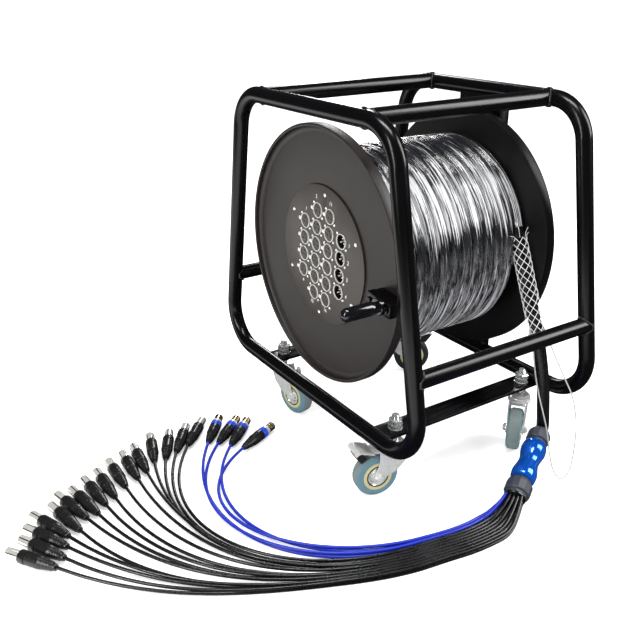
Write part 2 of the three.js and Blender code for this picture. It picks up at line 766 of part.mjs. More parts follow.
// The stack of four turns into two rows of two as it spreads, with no cord passing through another
function bundlePlace(tail, centre, tangent, spread) {
  const place = tail % exitRowCount;
  const upperPair = place % laneRowCount === 0 ? -1 : 1;
  const member = Math.floor(place / laneRowCount) === 0 ? -1 : 1;
  const { right, up } = sidesOf(tangent);
  const roll = spread * half(Math.PI);
  const aside = member * half(lanePitch) * Math.sin(roll);
  const sideways = columnPlace(Math.floor(tail / exitRowCount), spread) + aside;
  const height = upperPair * lanePitch * (1 - half(spread)) - member * half(lanePitch) * Math.cos(roll);
  return centre.clone().addScaledVector(right, sideways).addScaledVector(up, height);
}

function bundlePoint(tail, share) {
  const spread = Math.min(share / spreadShare, 1);
  return bundlePlace(tail, bundle.getPoint(share), bundle.getTangent(share), spread);
}

// How far the join between the two colours lies from the bundle's middle
function centreShift(spread) {
  const columns = plugPlaces.length / exitRowCount;
  const blackColumns = blackTailCount / exitRowCount;
  return (blackColumns - half(columns)) * lanePitch * (1 + spread) - half(colourGap);
}

function tailPoints(tail) {
  const last = plugPlaces.length - 1;
  const branch = THREE.MathUtils.lerp(...branchShares, tail / last);
  const lead = bundlePlace(tail, exitPoint, outDirection, 0);
  const laid = bundleShares.map((share) => bundlePoint(tail, share));
  const start = bundlePoint(tail, branch);
  const [x, y, heading] = plugPlaces[tail];
  const angle = THREE.MathUtils.degToRad(heading);
  const pull = new THREE.Vector3(Math.cos(angle), Math.sin(angle), 0);
  const end = new THREE.Vector3(x, y, plugLift).addScaledVector(pull, -gap);
  const flat = bundle.getTangent(branch).setZ(0).normalize();
  const turn = flat.angleTo(pull);
  const reach = start.distanceTo(end) * arcShare * (Math.tan(turn / 4) / Math.sin(half(turn)));
  const free = new THREE.CubicBezierCurve3(start, start.clone().addScaledVector(flat, reach),
    end.clone().addScaledVector(pull, -reach).setZ(half(tailDiameter)), end);
  const route = [lead, ...laid, start, ...freeShares.map((share) => free.getPoint(share))];
  route.forEach((p) => p.setZ(Math.max(p.z, half(tailDiameter))));
  return [...route, end.clone().addScaledVector(pull, -tailDiameter), end];
}

// A tail's tube has its rings where its route has points
function tailTube(tail) {
  const points = tailPoints(tail);
  const last = points.length - 1;
  const rings = points.map((p, i) => {
    const tangent = points[Math.min(i + 1, last)].clone().sub(points[Math.max(i - 1, 0)]).normalize();
    if (i === 0) tangent.copy(outDirection);
    const { right, up } = sidesOf(tangent);
    return Array.from({ length: tailSides }, (_, j) => {
      const angle = (2 * Math.PI * (j + middleShare)) / tailSides;
      return p.clone().addScaledVector(right, half(tailDiameter) * Math.cos(angle))
        .addScaledVector(up, -half(tailDiameter) * Math.sin(angle));
    });
  });
  return skin(rings, false);
}

function tails(from, to) {
  const { right, up } = sidesOf(outDirection);
  const places = [from, to - 1].map((tail) => columnPlace(Math.floor(tail / exitRowCount), 0));
  const width = places[1] - places[0] + lanePitch;
  const seal = new THREE.BoxGeometry(sealThickness, width, exitRowCount * lanePitch);
  seal.translate(half(sealThickness), -half(places[0] + places[1]), 0);
  const basis = new THREE.Matrix4().makeBasis(outDirection, right.negate(), up);
  seal.applyMatrix4(basis).translate(exitPoint.x, exitPoint.y, exitPoint.z);
  const tubes = [];
  for (let tail = from; tail < to; tail += 1) tubes.push(tailTube(tail));
  return build([seal, ...tubes]);
}

function plug() {
  const body = half(plugDiameter);
  const points = [[0, 0], [0, half(bootTip)], [bootLength, half(bootDiameter)], [bootLength, body],
    [plugLength, body], [plugLength, 0]];
  return turned(points, plugSides).rotateX(Math.PI / plugSides);
}

// Scene graph

const stageBoxSnake = new THREE.Group();
stageBoxSnake.name = 'stage_box_snake';

function addTo(group, name, geometry, look) {
  const mesh = new THREE.Mesh(geometry, look);
  mesh.name = name;
  group.add(mesh);
  return mesh;
}

const model = new THREE.Group();
stageBoxSnake.add(model);

addTo(model, 'hoop_left', hoop(-hoopX, tubeRadius), blackPaint);
addTo(model, 'hoop_right', hoop(hoopX, tubeRadius), blackPaint);
addTo(model, 'top_tube_front', crossTube(-topTubeOffset, hoopTop), blackPaint);
addTo(model, 'top_tube_rear', crossTube(topTubeOffset, hoopTop), blackPaint);
addTo(model, 'low_tube_front', crossTube(-lowTubeOffset, lowTubeHeight), blackPaint);
addTo(model, 'low_tube_rear', crossTube(lowTubeOffset, lowTubeHeight), blackPaint);
addTo(model, 'caster_bar_front', casterBar(-1), blackPaint);
addTo(model, 'caster_bar_rear', casterBar(1), blackPaint);
addTo(model, 'drum_post', drumPost(), blackPaint);
addTo(model, 'spindle', spindle(), steel);

const drum = new THREE.Group();
drum.position.z = axleHeight;
drum.rotation.x = THREE.MathUtils.degToRad(drumAngle);
model.add(drum);
addTo(drum, 'flange_left', leftFlange(), mattBlack);
addTo(drum, 'flange_right', rightFlange(), mattBlack);
addTo(drum, 'drum_barrel', drumBarrel(), mattBlack);
addTo(drum, 'connector_panel', connectorPanel(), mattBlack);
addTo(drum, 'female_sockets', sockets(femalePlaces, insertRecess, femaleWidth, femaleFlange), socketMetal);
addTo(drum, 'male_sockets', sockets(malePlaces, maleDepth, maleWidth, maleFlange), socketBlack);
addTo(drum, 'crank_bracket', crankBracket(), blackPaint);
addTo(drum, 'crank_grip', crankGrip(), blackPaint);

const winding = addTo(model, 'cable_winding', cableWinding(), film);
winding.position.z = axleHeight;

// Each caster's place along its bar, side, heading in degrees and brake
const casters = [
  { name: 'front_left', x: frontStems[0], side: -1, heading: 167.5, braked: true },
  { name: 'front_right', x: frontStems[1], side: -1, heading: -143, braked: false },
  { name: 'rear_left', x: rearStems[0], side: 1, heading: -80, braked: false },
  { name: 'rear_right', x: rearStems[1], side: 1, heading: -30, braked: true },
];
for (const caster of casters) {
  const place = new THREE.Group();
  place.position.set(caster.x, caster.side * stemY, 0);
  model.add(place);
  addTo(place, `caster_stem_${caster.name}`, casterStem(), zinc);
  const swivel = new THREE.Group();
  swivel.rotation.z = THREE.MathUtils.degToRad(caster.heading);
  place.add(swivel);
  addTo(swivel, `caster_fork_${caster.name}`, casterFork(caster.braked), zinc);
  addTo(swivel, `wheel_${caster.name}`, casterWheel(), tread);
  if (caster.braked) addTo(swivel, `brake_pedal_${caster.name}`, brakePedal(), zinc);
}

// The origin is on the floor under the middle of the object without its cords
const body = new THREE.Box3().setFromObject(model, true).getCenter(new THREE.Vector3());
model.position.set(-body.x, -body.y, 0);

addTo(model, 'trunk_cable', cordTube(trunkCurve(), cableRadius, cordSides, trunkSteps), blackRubber);
addTo(model, 'cable_grip', cableGrip(), steel);
addTo(model, 'gland_nut_in', glandNut(nutInLength, nutInDiameter, 0), darkPlastic);
addTo(model, 'breakout_barrel', breakoutBarrel(), blueGloss);
const nutOutStart = breakoutLength - nutOutLength;
addTo(model, 'gland_nut_out', glandNut(nutOutLength, nutOutDiameter, nutOutStart), darkPlastic);
addTo(model, 'tails_black', tails(0, blackTailCount), blackRubber);
addTo(model, 'tails_blue', tails(blackTailCount, plugPlaces.length), blueSheath);

plugPlaces.forEach(([x, y, heading], i) => {
  const number = String(i + 1).padStart(2, '0');
  const mesh = addTo(model, `plug_${number}`, plug(), i < blackTailCount ? plugBlack : plugBlue);
  mesh.position.set(x, y, plugLift);
  mesh.rotation.z = THREE.MathUtils.degToRad(heading);
});

export default stageBoxSnake;
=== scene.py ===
import json
import math

import bmesh
import bpy
from mathutils import Matrix, Vector


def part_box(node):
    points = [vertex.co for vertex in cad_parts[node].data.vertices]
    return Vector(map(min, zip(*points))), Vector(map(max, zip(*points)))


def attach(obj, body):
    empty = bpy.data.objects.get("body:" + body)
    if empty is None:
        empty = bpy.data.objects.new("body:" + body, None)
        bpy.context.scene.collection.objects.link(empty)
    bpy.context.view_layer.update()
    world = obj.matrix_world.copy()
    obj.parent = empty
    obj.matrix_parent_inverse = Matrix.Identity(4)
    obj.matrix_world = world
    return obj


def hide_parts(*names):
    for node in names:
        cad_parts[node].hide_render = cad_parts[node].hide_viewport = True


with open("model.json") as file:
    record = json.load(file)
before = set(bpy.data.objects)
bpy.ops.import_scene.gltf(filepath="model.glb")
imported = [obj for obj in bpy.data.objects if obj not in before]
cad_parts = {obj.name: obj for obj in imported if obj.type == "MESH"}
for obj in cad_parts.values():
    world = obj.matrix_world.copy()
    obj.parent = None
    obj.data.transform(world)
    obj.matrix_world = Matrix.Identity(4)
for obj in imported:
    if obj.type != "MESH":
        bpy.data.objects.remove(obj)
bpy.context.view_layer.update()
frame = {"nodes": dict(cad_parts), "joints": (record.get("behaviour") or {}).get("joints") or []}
scene = bpy.context.scene


# Camera and studio
# The camera stands where the photograph was taken from, ahead and to the left of the reel. The room is
# white to the eye and to matt surfaces and dark in reflections, where the soft boxes show. The tall one on
# the right gives the winding its broad bright band, where the film also has white highlights painted in.
camera_azimuth = math.radians(-33.009)
camera_elevation = math.radians(23.406)
camera_roll = math.radians(-0.348)
camera_place = Vector((-0.7585, -0.9584, 0.7307))
lens_length = 44.1
sensor_width = 36.0
reel_middle = (0.0, 0.0, 0.3)
# Name, place, aim, width, height and power of each soft box
soft_boxes = [
    ("winding_box", (1.6, -1.3, 1.6), (0.0, -0.1, 0.34), 0.8, 1.7, 48),
    ("overhead_box", (-0.3, -0.2, 2.2), reel_middle, 1.2, 0.25, 28),
    ("left_box", (-2.3, -0.5, 1.3), reel_middle, 0.2, 1.8, 30),
    ("rear_box", (1.4, 2.2, 1.5), reel_middle, 0.3, 1.5, 22),
]
cove_white = (1, 1, 1, 1)
cove_glow = 1.1
room_tint = (0.9, 0.94, 1, 1)
room_glow = 0.05


def linked(name, data):
    """A new object that stands in the scene."""
    made = bpy.data.objects.new(name, data)
    scene.collection.objects.link(made)
    return made


back = Vector((
    math.sin(camera_azimuth) * math.cos(camera_elevation),
    -math.cos(camera_azimuth) * math.cos(camera_elevation),
    math.sin(camera_elevation),
))
level = Vector((0, 0, 1)).cross(back).normalized()
over = back.cross(level)
right = level * math.cos(camera_roll) + over * math.sin(camera_roll)
upright = over * math.cos(camera_roll) - level * math.sin(camera_roll)
camera_data = bpy.data.cameras.new("camera")
camera_data.lens = lens_length
camera_data.sensor_width = sensor_width
camera = linked("camera", camera_data)
camera.matrix_world = Matrix.Translation(camera_place) @ Matrix((right, upright, back)).transposed().to_4x4()
scene.camera = camera

for name, place, aim, width, height, power in soft_boxes:
    data = bpy.data.lights.new(name, "AREA")
    data.shape = "RECTANGLE"
    data.size = width
    data.size_y = height
    data.energy = power
    light = linked(name, data)
    light.location = place
    light.rotation_euler = (Vector(aim) - Vector(place)).to_track_quat("-Z", "Y").to_euler()


def fill(tree, made, inputs):
    """Joins or fills a node's inputs. A node given as a value stands for its first output."""
    for name, value in inputs.items():
        if isinstance(value, bpy.types.Node):
            value = value.outputs[0]
        if isinstance(value, bpy.types.NodeSocket):
            tree.links.new(value, made.inputs[name])
        else:
            made.inputs[name].default_value = value
    return made


def node(tree, kind, inputs=None, **settings):
    """Adds a node, sets it up and joins or fills its inputs."""
    made = tree.nodes.new(kind)
    for name, value in settings.items():
        setattr(made, name, value)
    return fill(tree, made, inputs or {})


world = bpy.data.worlds.new("studio")
world.use_nodes = True
world.cycles.sampling_method = "NONE"
scene.world = world
scene.view_settings.view_transform = "Standard"
sky = world.node_tree
sky.nodes.clear()
seen = node(sky, "ShaderNodeLightPath").outputs
white_cove = node(sky, "ShaderNodeBackground", {"Color": cove_white, "Strength": cove_glow})
dark_room = node(sky, "ShaderNodeBackground", {"Color": room_tint, "Strength": room_glow})
sky_mix = node(sky, "ShaderNodeMixShader", {0: seen["Is Glossy Ray"], 1: white_cove, 2: dark_room})
node(sky, "ShaderNodeOutputWorld", {"Surface": sky_mix})


# Finishes
# Every surface gets a fine grain and a slow drift of tone and gloss. One group makes them for all
# finishes, and each finish sets its own values.
number = "NodeSocketFloat"
grain_height = 0.0004
noise_middle = 0.5


def calc(tree, operation, *values, **settings):
    """A math node on sockets, nodes and numbers."""
    return node(tree, "ShaderNodeMath", dict(enumerate(values)), operation=operation, **settings)


def vector(tree, operation, first, second=None):
    """A vector math node. Scaling takes a number as its second value."""
    other = "Scale" if operation == "SCALE" else 1
    values = {0: first} if second is None else {0: first, other: second}
    return node(tree, "ShaderNodeVectorMath", values, operation=operation)


def new_group(kind, name, wanted, given):
    """An empty node group, the sockets that bring its named inputs, and its output node."""
    group = bpy.data.node_groups.new(name, kind)
    for label, socket, value in wanted:
        made = group.interface.new_socket(label, in_out="INPUT", socket_type=socket)
        if value is not None:
            made.default_value = value
    for label, socket in given:
        group.interface.new_socket(label, in_out="OUTPUT", socket_type=socket)
    return group, group.nodes.new("NodeGroupInput").outputs, group.nodes.new("NodeGroupOutput")


def grained_surface():
    """Drifts a colour and a roughness over patches and raises a fine grain."""
    group, given, out = new_group("ShaderNodeTree", "grained_surface", [
        ("Colour", "NodeSocketColor", (0.5, 0.5, 0.5, 1)), ("Drift", number, 0.1), ("Patches", number, 30),
        ("Roughness", number, 0.5), ("Roughness drift", number, 0.1), ("Grain", number, 900),
        ("Depth", number, 0.1)], [
        ("Colour", "NodeSocketColor"), ("Roughness", number), ("Normal", "NodeSocketVector")])
    where = node(group, "ShaderNodeTexCoord").outputs["Object"]
    patches = node(group, "ShaderNodeTexNoise", {"Vector": where, "Scale": given["Patches"], "Detail": 3.0})
    grain = node(group, "ShaderNodeTexNoise", {"Vector": where, "Scale": given["Grain"], "Detail": 2.0})
    swing = calc(group, "SUBTRACT", patches, noise_middle)
    tone = calc(group, "MULTIPLY_ADD", swing, given["Drift"], 1.0)
    rough = calc(group, "MULTIPLY_ADD", swing, given["Roughness drift"], given["Roughness"], use_clamp=True)
    bump = node(group, "ShaderNodeBump", {
        "Height": grain, "Strength": given["Depth"], "Distance": grain_height})
    fill(group, out, {"Colour": vector(group, "SCALE", given["Colour"], tone), "Roughness": rough,
                      "Normal": bump})
    return group


surface_group = grained_surface()


def finish(name, colour, roughness, metallic=0.0, coat=0.0, specular=0.5, drift=0.3, rough_drift=0.15,
           patches=30.0, grain=900.0, depth=0.12):
    """A material whose colour, roughness and grain vary over the surface."""
    made = bpy.data.materials.new(name)
    made.use_nodes = True
    tree = made.node_tree
    surface = node(tree, "ShaderNodeGroup", {
        "Colour": (*colour, 1), "Drift": drift, "Patches": patches, "Roughness": roughness,
        "Roughness drift": rough_drift, "Grain": grain, "Depth": depth}, node_tree=surface_group).outputs
    fill(tree, tree.nodes["Principled BSDF"], {
        "Metallic": metallic, "Coat Weight": coat, "Specular IOR Level": specular,
        "Base Color": surface["Colour"], "Roughness": surface["Roughness"], "Normal": surface["Normal"]})
    return made


# Floor
# A wide white floor under the reel. In reflections it is dark but for a strip on the left, and to the eye
# it glows, so that shadows stay faint.
floor_reach = 60.0
floor_white = 0.93
floor_glow = 0.38
strip_middle = -0.95
strip_reach = 0.6
strip_fade = 0.25
strip_white = 0.95
strip_dark = 0.02


def ranged(tree, value, found, wanted=(0.0, 1.0)):
    """Maps a value from the range in which it is found to the wanted one, and holds it there."""
    return node(tree, "ShaderNodeMapRange", {
        "Value": value, "From Min": found[0], "From Max": found[1],
        "To Min": wanted[0], "To Max": wanted[1]})


floor_mesh = bpy.data.meshes.new("floor")
floor_corners = [(x * floor_reach, y * floor_reach, 0) for x, y in ((-1, -1), (1, -1), (1, 1), (-1, 1))]
floor_mesh.from_pydata(floor_corners, [], [(0, 1, 2, 3)])
floor_look = finish("pale_floor", (floor_white,) * 3, 0.8, specular=0.1, drift=0.01, patches=3)
floor_tree = floor_look.node_tree
floor_seen = node(floor_tree, "ShaderNodeLightPath").outputs
floor_x = node(floor_tree, "ShaderNodeSeparateXYZ", {
    0: node(floor_tree, "ShaderNodeTexCoord").outputs["Object"]})
strip_off = calc(floor_tree, "ABSOLUTE", calc(floor_tree, "SUBTRACT", floor_x, strip_middle))
strip = ranged(floor_tree, strip_off, (strip_reach - strip_fade, strip_reach), (strip_white, strip_dark))
floor_tone = node(floor_tree, "ShaderNodeMix", {
    "Factor": floor_seen["Is Glossy Ray"], 2: floor_white, 3: strip})
fill(floor_tree, floor_tree.nodes["Principled BSDF"], {
    "Base Color": floor_tone, "Emission Color": cove_white,
    "Emission Strength": calc(floor_tree, "MULTIPLY", floor_seen["Is Camera Ray"], floor_glow)})
floor_mesh.materials.append(floor_look)
floor = linked("floor", floor_mesh)


# Trunk cable
# A 20 mm black multicore in a rubber jacket, which leaves the winding, drops behind the low front tube
# and ends in the breakout. Its route repeats the points that the construction follows.
black_rubber = finish("black_rubber", (0.0035, 0.0035, 0.0042), 0.28, specular=0.65, patches=60, depth=0.2)

hoops = [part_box("hoop_left"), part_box("hoop_right")]
middle_x = (hoops[0][0].x + hoops[1][1].x) / 2
axle_height = 0.3428
axle = Vector((middle_x, 0, axle_height))
# The gap that the construction leaves between pieces that touch
seat = 0.0003
least_span = 1e-6
trunk_radius = 0.010
trunk_steps = 8
wound_radius = 0.150
last_turn_x = 0.112
leave_angle = math.radians(22.5)
trunk_route = [
    (0.112, -0.1616, 0.3448), (0.112, -0.1788, 0.3032), (0.112, -0.1953, 0.2634),
    (0.112, -0.2112, 0.224), (0.1125, -0.2245, 0.182), (0.113, -0.234, 0.140), (0.113, -0.239, 0.105),
]
gland_in_place = (0.109, -0.243, 0.064)
gland_out_place = (-0.006, -0.304, 0.021)


def at(x, y, z):
    """A point given from the middle between the hoops."""
    return Vector((x + middle_x, y, z))


def routed(points, steps):
    """A smooth line through points, spaced by the square root of their distances, as a cord bends."""
    ends = [2 * points[0] - points[1], *points, 2 * points[-1] - points[-2]]
    line = []
    for before, start, end, after in zip(ends, ends[1:], ends[2:], ends[3:]):
        pairs = ((before, start), (start, end), (end, after))
        one, two, three = [max((b - a).length, least_span) ** 0.5 for a, b in pairs]
        first = (start - before) / one - (end - before) / (one + two) + (end - start) / two
        last = (end - start) / two - (after - start) / (two + three) + (after - end) / three
        first, last = first * two, last * two
        for step in range(steps):
            t = step / steps
            line.append(
                start * (2 * t**3 - 3 * t**2 + 1) + first * (t**3 - 2 * t**2 + t)
                + end * (3 * t**2 - 2 * t**3) + last * (t**3 - t**2))
    return [*line, points[-1]]


def drawn_line(name, points):
    """A bare curve through points."""
    data = bpy.data.curves.new(name, "CURVE")
    data.dimensions = "3D"
    spline = data.splines.new("POLY")
    spline.points.add(len(points) - 1)
    for target, point in zip(spline.points, points):
        target.co = (*point, 1)
    return linked(name, data)


def cord_curve(name, points, radius, look, sides=4):
    """A round cord along points, as a curve with closed ends."""
    made = drawn_line(name, points)
    made.data.bevel_depth = radius
    made.data.bevel_resolution = sides
    made.data.use_fill_caps = True
    made.data.materials.append(look)
    return made


def settle(made, body, slot, *nodes):
    """Lets a finished piece ride on its body and hides the nodes that it stands for; its slot is not used.
    """
    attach(made, body)
    if nodes:
        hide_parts(*nodes)
    return made


gland_in, gland_out = at(*gland_in_place), at(*gland_out_place)
breakout_direction = (gland_out - gland_in).normalized()
leave_point = at(last_turn_x, -wound_radius * math.cos(leave_angle),
                 axle.z + wound_radius * math.sin(leave_angle))
leave_direction = Vector((0, -math.sin(leave_angle), -math.cos(leave_angle)))
trunk_start = leave_point + leave_direction * (2 * trunk_radius + seat)
trunk_end = gland_in - breakout_direction * seat
trunk_points = [trunk_start, *(at(*point) for point in trunk_route),
                trunk_end - breakout_direction * trunk_radius, trunk_end]
trunk_line = routed(trunk_points, trunk_steps)
trunk = cord_curve("trunk_jacket", trunk_line, trunk_radius, black_rubber, sides=8)
settle(trunk, "frame", "black_rubber", "trunk_cable")


# Wire grip
# A sock of woven bright wire pulled over the trunk below the winding, closed by a pressed ferrule, with a
# thin pull wire that hangs in a long loop from its lower end.
bright_wire = finish("bright_wire", (1.0, 1.0, 0.99), 0.25, metallic=0.1, grain=2500)
pull_white = finish("pull_wire_white", (0.34, 0.34, 0.34), 0.4, grain=3000, depth=0.3)

sharp_angle = math.radians(28)
thinnest = 1e-7
sock_start = 0.038
sock_length = 0.155
sock_radius = 0.0130
sock_wires = 7
sock_turns = 1.45
sock_wire_radius = 0.00042
ferrule_radius = 0.0138
ferrule_length = 0.006
ferrule_edge = 0.0006
fray_count = 9
fray_length = 0.024
fray_wire_share = 0.8
fray_swing = 0.4
# How much of a fray's length each fray has, how far it leans out at its tip and in its middle
fray_lift_shares = (0.6, 0.4)
fray_lean_share = 0.45
fray_bend_share = 0.1
# How far the frays' angles, lengths and leans change from one to the next
fray_steps = (3.1, 2.3, 1.7)
pull_radius = 0.001
pull_steps = 8
pull_route = [
    (0.099, -0.206, 0.2376), (0.091, -0.223, 0.215), (0.078, -0.240, 0.197), (0.072, -0.252, 0.176),
    (0.072, -0.262, 0.150), (0.076, -0.281, 0.098), (0.079, -0.290, 0.057), (0.084, -0.297, 0.030),
    (0.099, -0.301, 0.012), (0.115, -0.301, 0.018), (0.128, -0.296, 0.059), (0.133, -0.288, 0.102),
    (0.129, -0.278, 0.140), (0.123, -0.266, 0.165), (0.121, -0.245, 0.194), (0.124, -0.222, 0.220),
    (0.125, -0.206, 0.2376),
]


def on_circle(count, radius, first=0.0):
    """Points spaced evenly round a circle, from a first angle."""
    angles = [first + 2 * math.pi * i / count for i in range(count)]
    return [(radius * math.cos(a), radius * math.sin(a)) for a in angles]


def turned(profile, place=Matrix(), sides=32):
    """Spins points (place along X, radius) about X into a closed shape and puts it in place."""
    shape = bmesh.new()
    closed = profile[0] == profile[-1]
    rings = []
    for along, radius in profile[:-1] if closed else profile:
        if radius < thinnest:
            rings.append([shape.verts.new((along, 0, 0))])
        else:
            rings.append([shape.verts.new((along, y, z)) for y, z in on_circle(sides, radius)])
    if closed:
        rings.append(rings[0])
    for one, two in zip(rings, rings[1:]):
        for i in range(sides):
            k = (i + 1) % sides
            if len(one) == 1 and len(two) > 1:
                shape.faces.new((one[0], two[k], two[i]))
            elif len(two) == 1 and len(one) > 1:
                shape.faces.new((one[i], one[k], two[0]))
            elif len(one) > 1:
                shape.faces.new((one[i], one[k], two[k], two[i]))
    shape.transform(place)
    return shape


def swept(points, radius, sides=16, closed=False):
    """A tube through points, carried along without twist."""
    shape = bmesh.new()
    count = len(points)
    side = None
    rings = []
    for i, point in enumerate(points):
        ahead = points[(i + 1) % count] if closed else points[min(i + 1, count - 1)]
        behind = points[i - 1] if closed else points[max(i - 1, 0)]
        tangent = (ahead - behind).normalized()
        if side is None:
            side = tangent.orthogonal().normalized()
        side = (side - tangent * side.dot(tangent)).normalized()
        across = tangent.cross(side)
        rings.append([shape.verts.new(point + (side * c + across * s) * radius)
                      for c, s in on_circle(sides, 1)])
    for i in range(count if closed else count - 1):
        one, two = rings[i], rings[(i + 1) % count]
        for j in range(sides):
            k = (j + 1) % sides
            shape.faces.new((one[j], one[k], two[k], two[j]))
    if not closed:
        shape.faces.new(rings[0][::-1])
        shape.faces.new(rings[-1])
    return shape


def along(start, direction):
    """The matrix that puts a shape drawn along X at a point, facing a direction."""
    turn = Vector((1, 0, 0)).rotation_difference(Vector(direction)).to_matrix().to_4x4()
    return Matrix.Translation(start) @ turn


def joined_mesh(name, parts):
    """One mesh from shapes, each with its finish."""
    whole = bmesh.new()
    looks = []
    for shape, look in parts:
        if look not in looks:
            looks.append(look)
        bmesh.ops.recalc_face_normals(shape, faces=shape.faces)
        for face in shape.faces:
            face.material_index = looks.index(look)
        holder = bpy.data.meshes.new("holder")
        shape.to_mesh(holder)
        shape.free()
        whole.from_mesh(holder)
        bpy.data.meshes.remove(holder)
    mesh = bpy.data.meshes.new(name)
    whole.to_mesh(mesh)
    whole.free()
    for look in looks:
        mesh.materials.append(look)
    mesh.shade_smooth()
    mesh.set_sharp_from_angle(angle=sharp_angle)
    return mesh


def piece(name, parts, body, slot, *nodes):
    """A piece of the object made of shapes, each with its finish."""
    return settle(linked(name, joined_mesh(name, parts)), body, slot, *nodes)


def evaluated_mesh(made):
    """An object's mesh as its modifiers leave it."""
    bpy.context.view_layer.update()
    graph = bpy.context.evaluated_depsgraph_get()
    return bpy.data.meshes.new_from_object(made.evaluated_get(graph), depsgraph=graph)


def grown(name, base, tree, values):
    """Runs a geometry tree on an object and keeps its result as a plain mesh object."""
    modifier = base.modifiers.new(tree.name, "NODES")
    modifier.node_group = tree
    for item in tree.interface.items_tree:
        if item.item_type == "SOCKET" and item.in_out == "INPUT" and item.name in values:
            modifier[item.identifier] = values[item.name]
    mesh = evaluated_mesh(base)
    bpy.data.objects.remove(base)
    mesh.name = name
    return linked(name, mesh)


def new_tree(name, wanted):
    """An empty geometry tree that takes a shape and a finish besides its own inputs."""
    shape = "NodeSocketGeometry"
    wanted = [("Geometry", shape, None), *wanted, ("Finish", "NodeSocketMaterial", None)]
    return new_group("GeometryNodeTree", name, wanted, [("Geometry", shape)])


def end_tree(tree, given, out, geometry):
    """Ends a geometry tree: its copies are made real and get the finish."""
    real = node(tree, "GeometryNodeRealizeInstances", {"Geometry": geometry})
    dressed = node(tree, "GeometryNodeSetMaterial", {"Geometry": real, "Material": given["Finish"]})
    fill(tree, out, {0: dressed})
    return tree


def braided_sock():
    """Geometry tree: wires wound both ways round a tube that stands on Z."""
    tree, given, out = new_tree("braided_sock", [
        ("Wires each way", "NodeSocketInt", 8), ("Turns", number, 2.0), ("Radius", number, 0.012),
        ("Length", number, 0.15), ("Wire radius", number, 0.0004)])
    profile = node(tree, "GeometryNodeCurvePrimitiveCircle", {
        "Resolution": 6, "Radius": given["Wire radius"]})
    fan = node(tree, "GeometryNodePoints", {"Count": given["Wires each way"]})
    share = calc(tree, "DIVIDE", node(tree, "GeometryNodeInputIndex"), given["Wires each way"])
    turn = node(tree, "ShaderNodeCombineXYZ", {"Z": calc(tree, "MULTIPLY", share, 2 * math.pi)})
    halves = node(tree, "GeometryNodeJoinGeometry")
    for backwards in (False, True):
        helix = node(tree, "GeometryNodeCurveSpiral", {
            "Resolution": 28, "Rotations": given["Turns"], "Start Radius": given["Radius"],
            "End Radius": given["Radius"], "Height": given["Length"], "Reverse": backwards})
        wire = node(tree, "GeometryNodeCurveToMesh", {
            "Curve": helix, "Profile Curve": profile, "Fill Caps": True})
        smooth = node(tree, "GeometryNodeSetShadeSmooth", {"Geometry": wire})
        fill(tree, halves, {0: node(tree, "GeometryNodeInstanceOnPoints", {
            "Points": fan, "Instance": smooth, "Rotation": turn})})
    return end_tree(tree, given, out, halves)


sock_place = leave_point + leave_direction * sock_start
sock = grown("wire_sock", linked("sock_base", bpy.data.meshes.new("sock_base")), braided_sock(), {
    "Wires each way": sock_wires, "Turns": sock_turns, "Radius": sock_radius,
    "Length": sock_length - ferrule_length, "Wire radius": sock_wire_radius, "Finish": bright_wire})
stand_up = Vector((0, 0, 1)).rotation_difference(leave_direction).to_matrix().to_4x4()
sock.data.transform(Matrix.Translation(sock_place) @ stand_up)
settle(sock, "frame", "bright_steel")

frays = []
for i in range(fray_count):
    angle_wave, length_wave, lean_wave = [step * i for step in fray_steps]
    angle = 2 * math.pi * i / fray_count + fray_swing * math.sin(angle_wave)
    outward = stand_up @ Vector((math.cos(angle), math.sin(angle), 0))
    root = sock_place + outward * sock_radius
    lift_share = fray_lift_shares[0] + fray_lift_shares[1] * math.cos(length_wave)
    lift = -leave_direction * fray_length * lift_share
    tip = root + lift + outward * fray_length * fray_lean_share * (1 + math.sin(lean_wave))
    bend = root + lift / 2 + outward * fray_length * fray_bend_share
    frays.append((swept(routed([root, bend, tip], 4), sock_wire_radius * fray_wire_share, 6), bright_wire))
piece("sock_frays", frays, "frame", "bright_steel")

ferrule_profile = [
    (0, sock_radius), (0, ferrule_radius - ferrule_edge), (ferrule_edge, ferrule_radius),
    (ferrule_length - ferrule_edge, ferrule_radius), (ferrule_length, ferrule_radius - ferrule_edge),
    (ferrule_length, trunk_radius + seat), (0, trunk_radius + seat), (0, sock_radius)]
ferrule_place = along(sock_place + leave_direction * (sock_length - ferrule_length), leave_direction)
ferrule = piece("grip_ferrule", [(turned(ferrule_profile, ferrule_place), bright_wire)],
                "frame", "bright_steel", "cable_grip")

pull_line = routed([at(*point) for point in pull_route], pull_steps)
pull = cord_curve("pull_loop", pull_line, pull_radius, pull_white)
settle(pull, "frame", "bright_steel")


# Breakout
# The trunk's cores part inside a glossy blue barrel with a waist. A dark moulded nut with twelve flats
# clamps the trunk at its upper end, and a larger one holds the tails at the lower end.
dark_moulding = finish("dark_moulding", (0.035, 0.038, 0.052), 0.36, patches=90, grain=1400)
blue_gloss = finish("blue_gloss", (0.004, 0.11, 0.62), 0.13, metallic=0.6, coat=0.6, drift=0.2, patches=40,
                    depth=0.03)

nut_in_length = 0.028
nut_in_radius = 0.018
nut_out_length = 0.032
nut_out_radius = 0.020
nut_flats = 12
# Shares of a nut's length and radius: a narrower collar at each end and the full flats between
gland_nut_shares = [
    (0, 0), (0, 0.774), (0.03, 0.8256), (0.17, 0.86), (0.2, 0.95), (0.24, 1), (0.78, 1), (0.82, 0.95),
    (0.84, 0.86), (0.97, 0.86), (1, 0.7998), (1, 0)]
barrel_bulge = 0.0195
barrel_waist = 0.0155
barrel_steps = 40
barrel_mouth_share = 0.86
crown_share = 0.14
crown_power = 8
waist_start_share = 0.16
waist_length_share = 0.68


def shaped(shares, start, length, radius):
    """A profile given as shares of a length and a radius."""
    return [(start + length * along_share, radius * out_share) for along_share, out_share in shares]


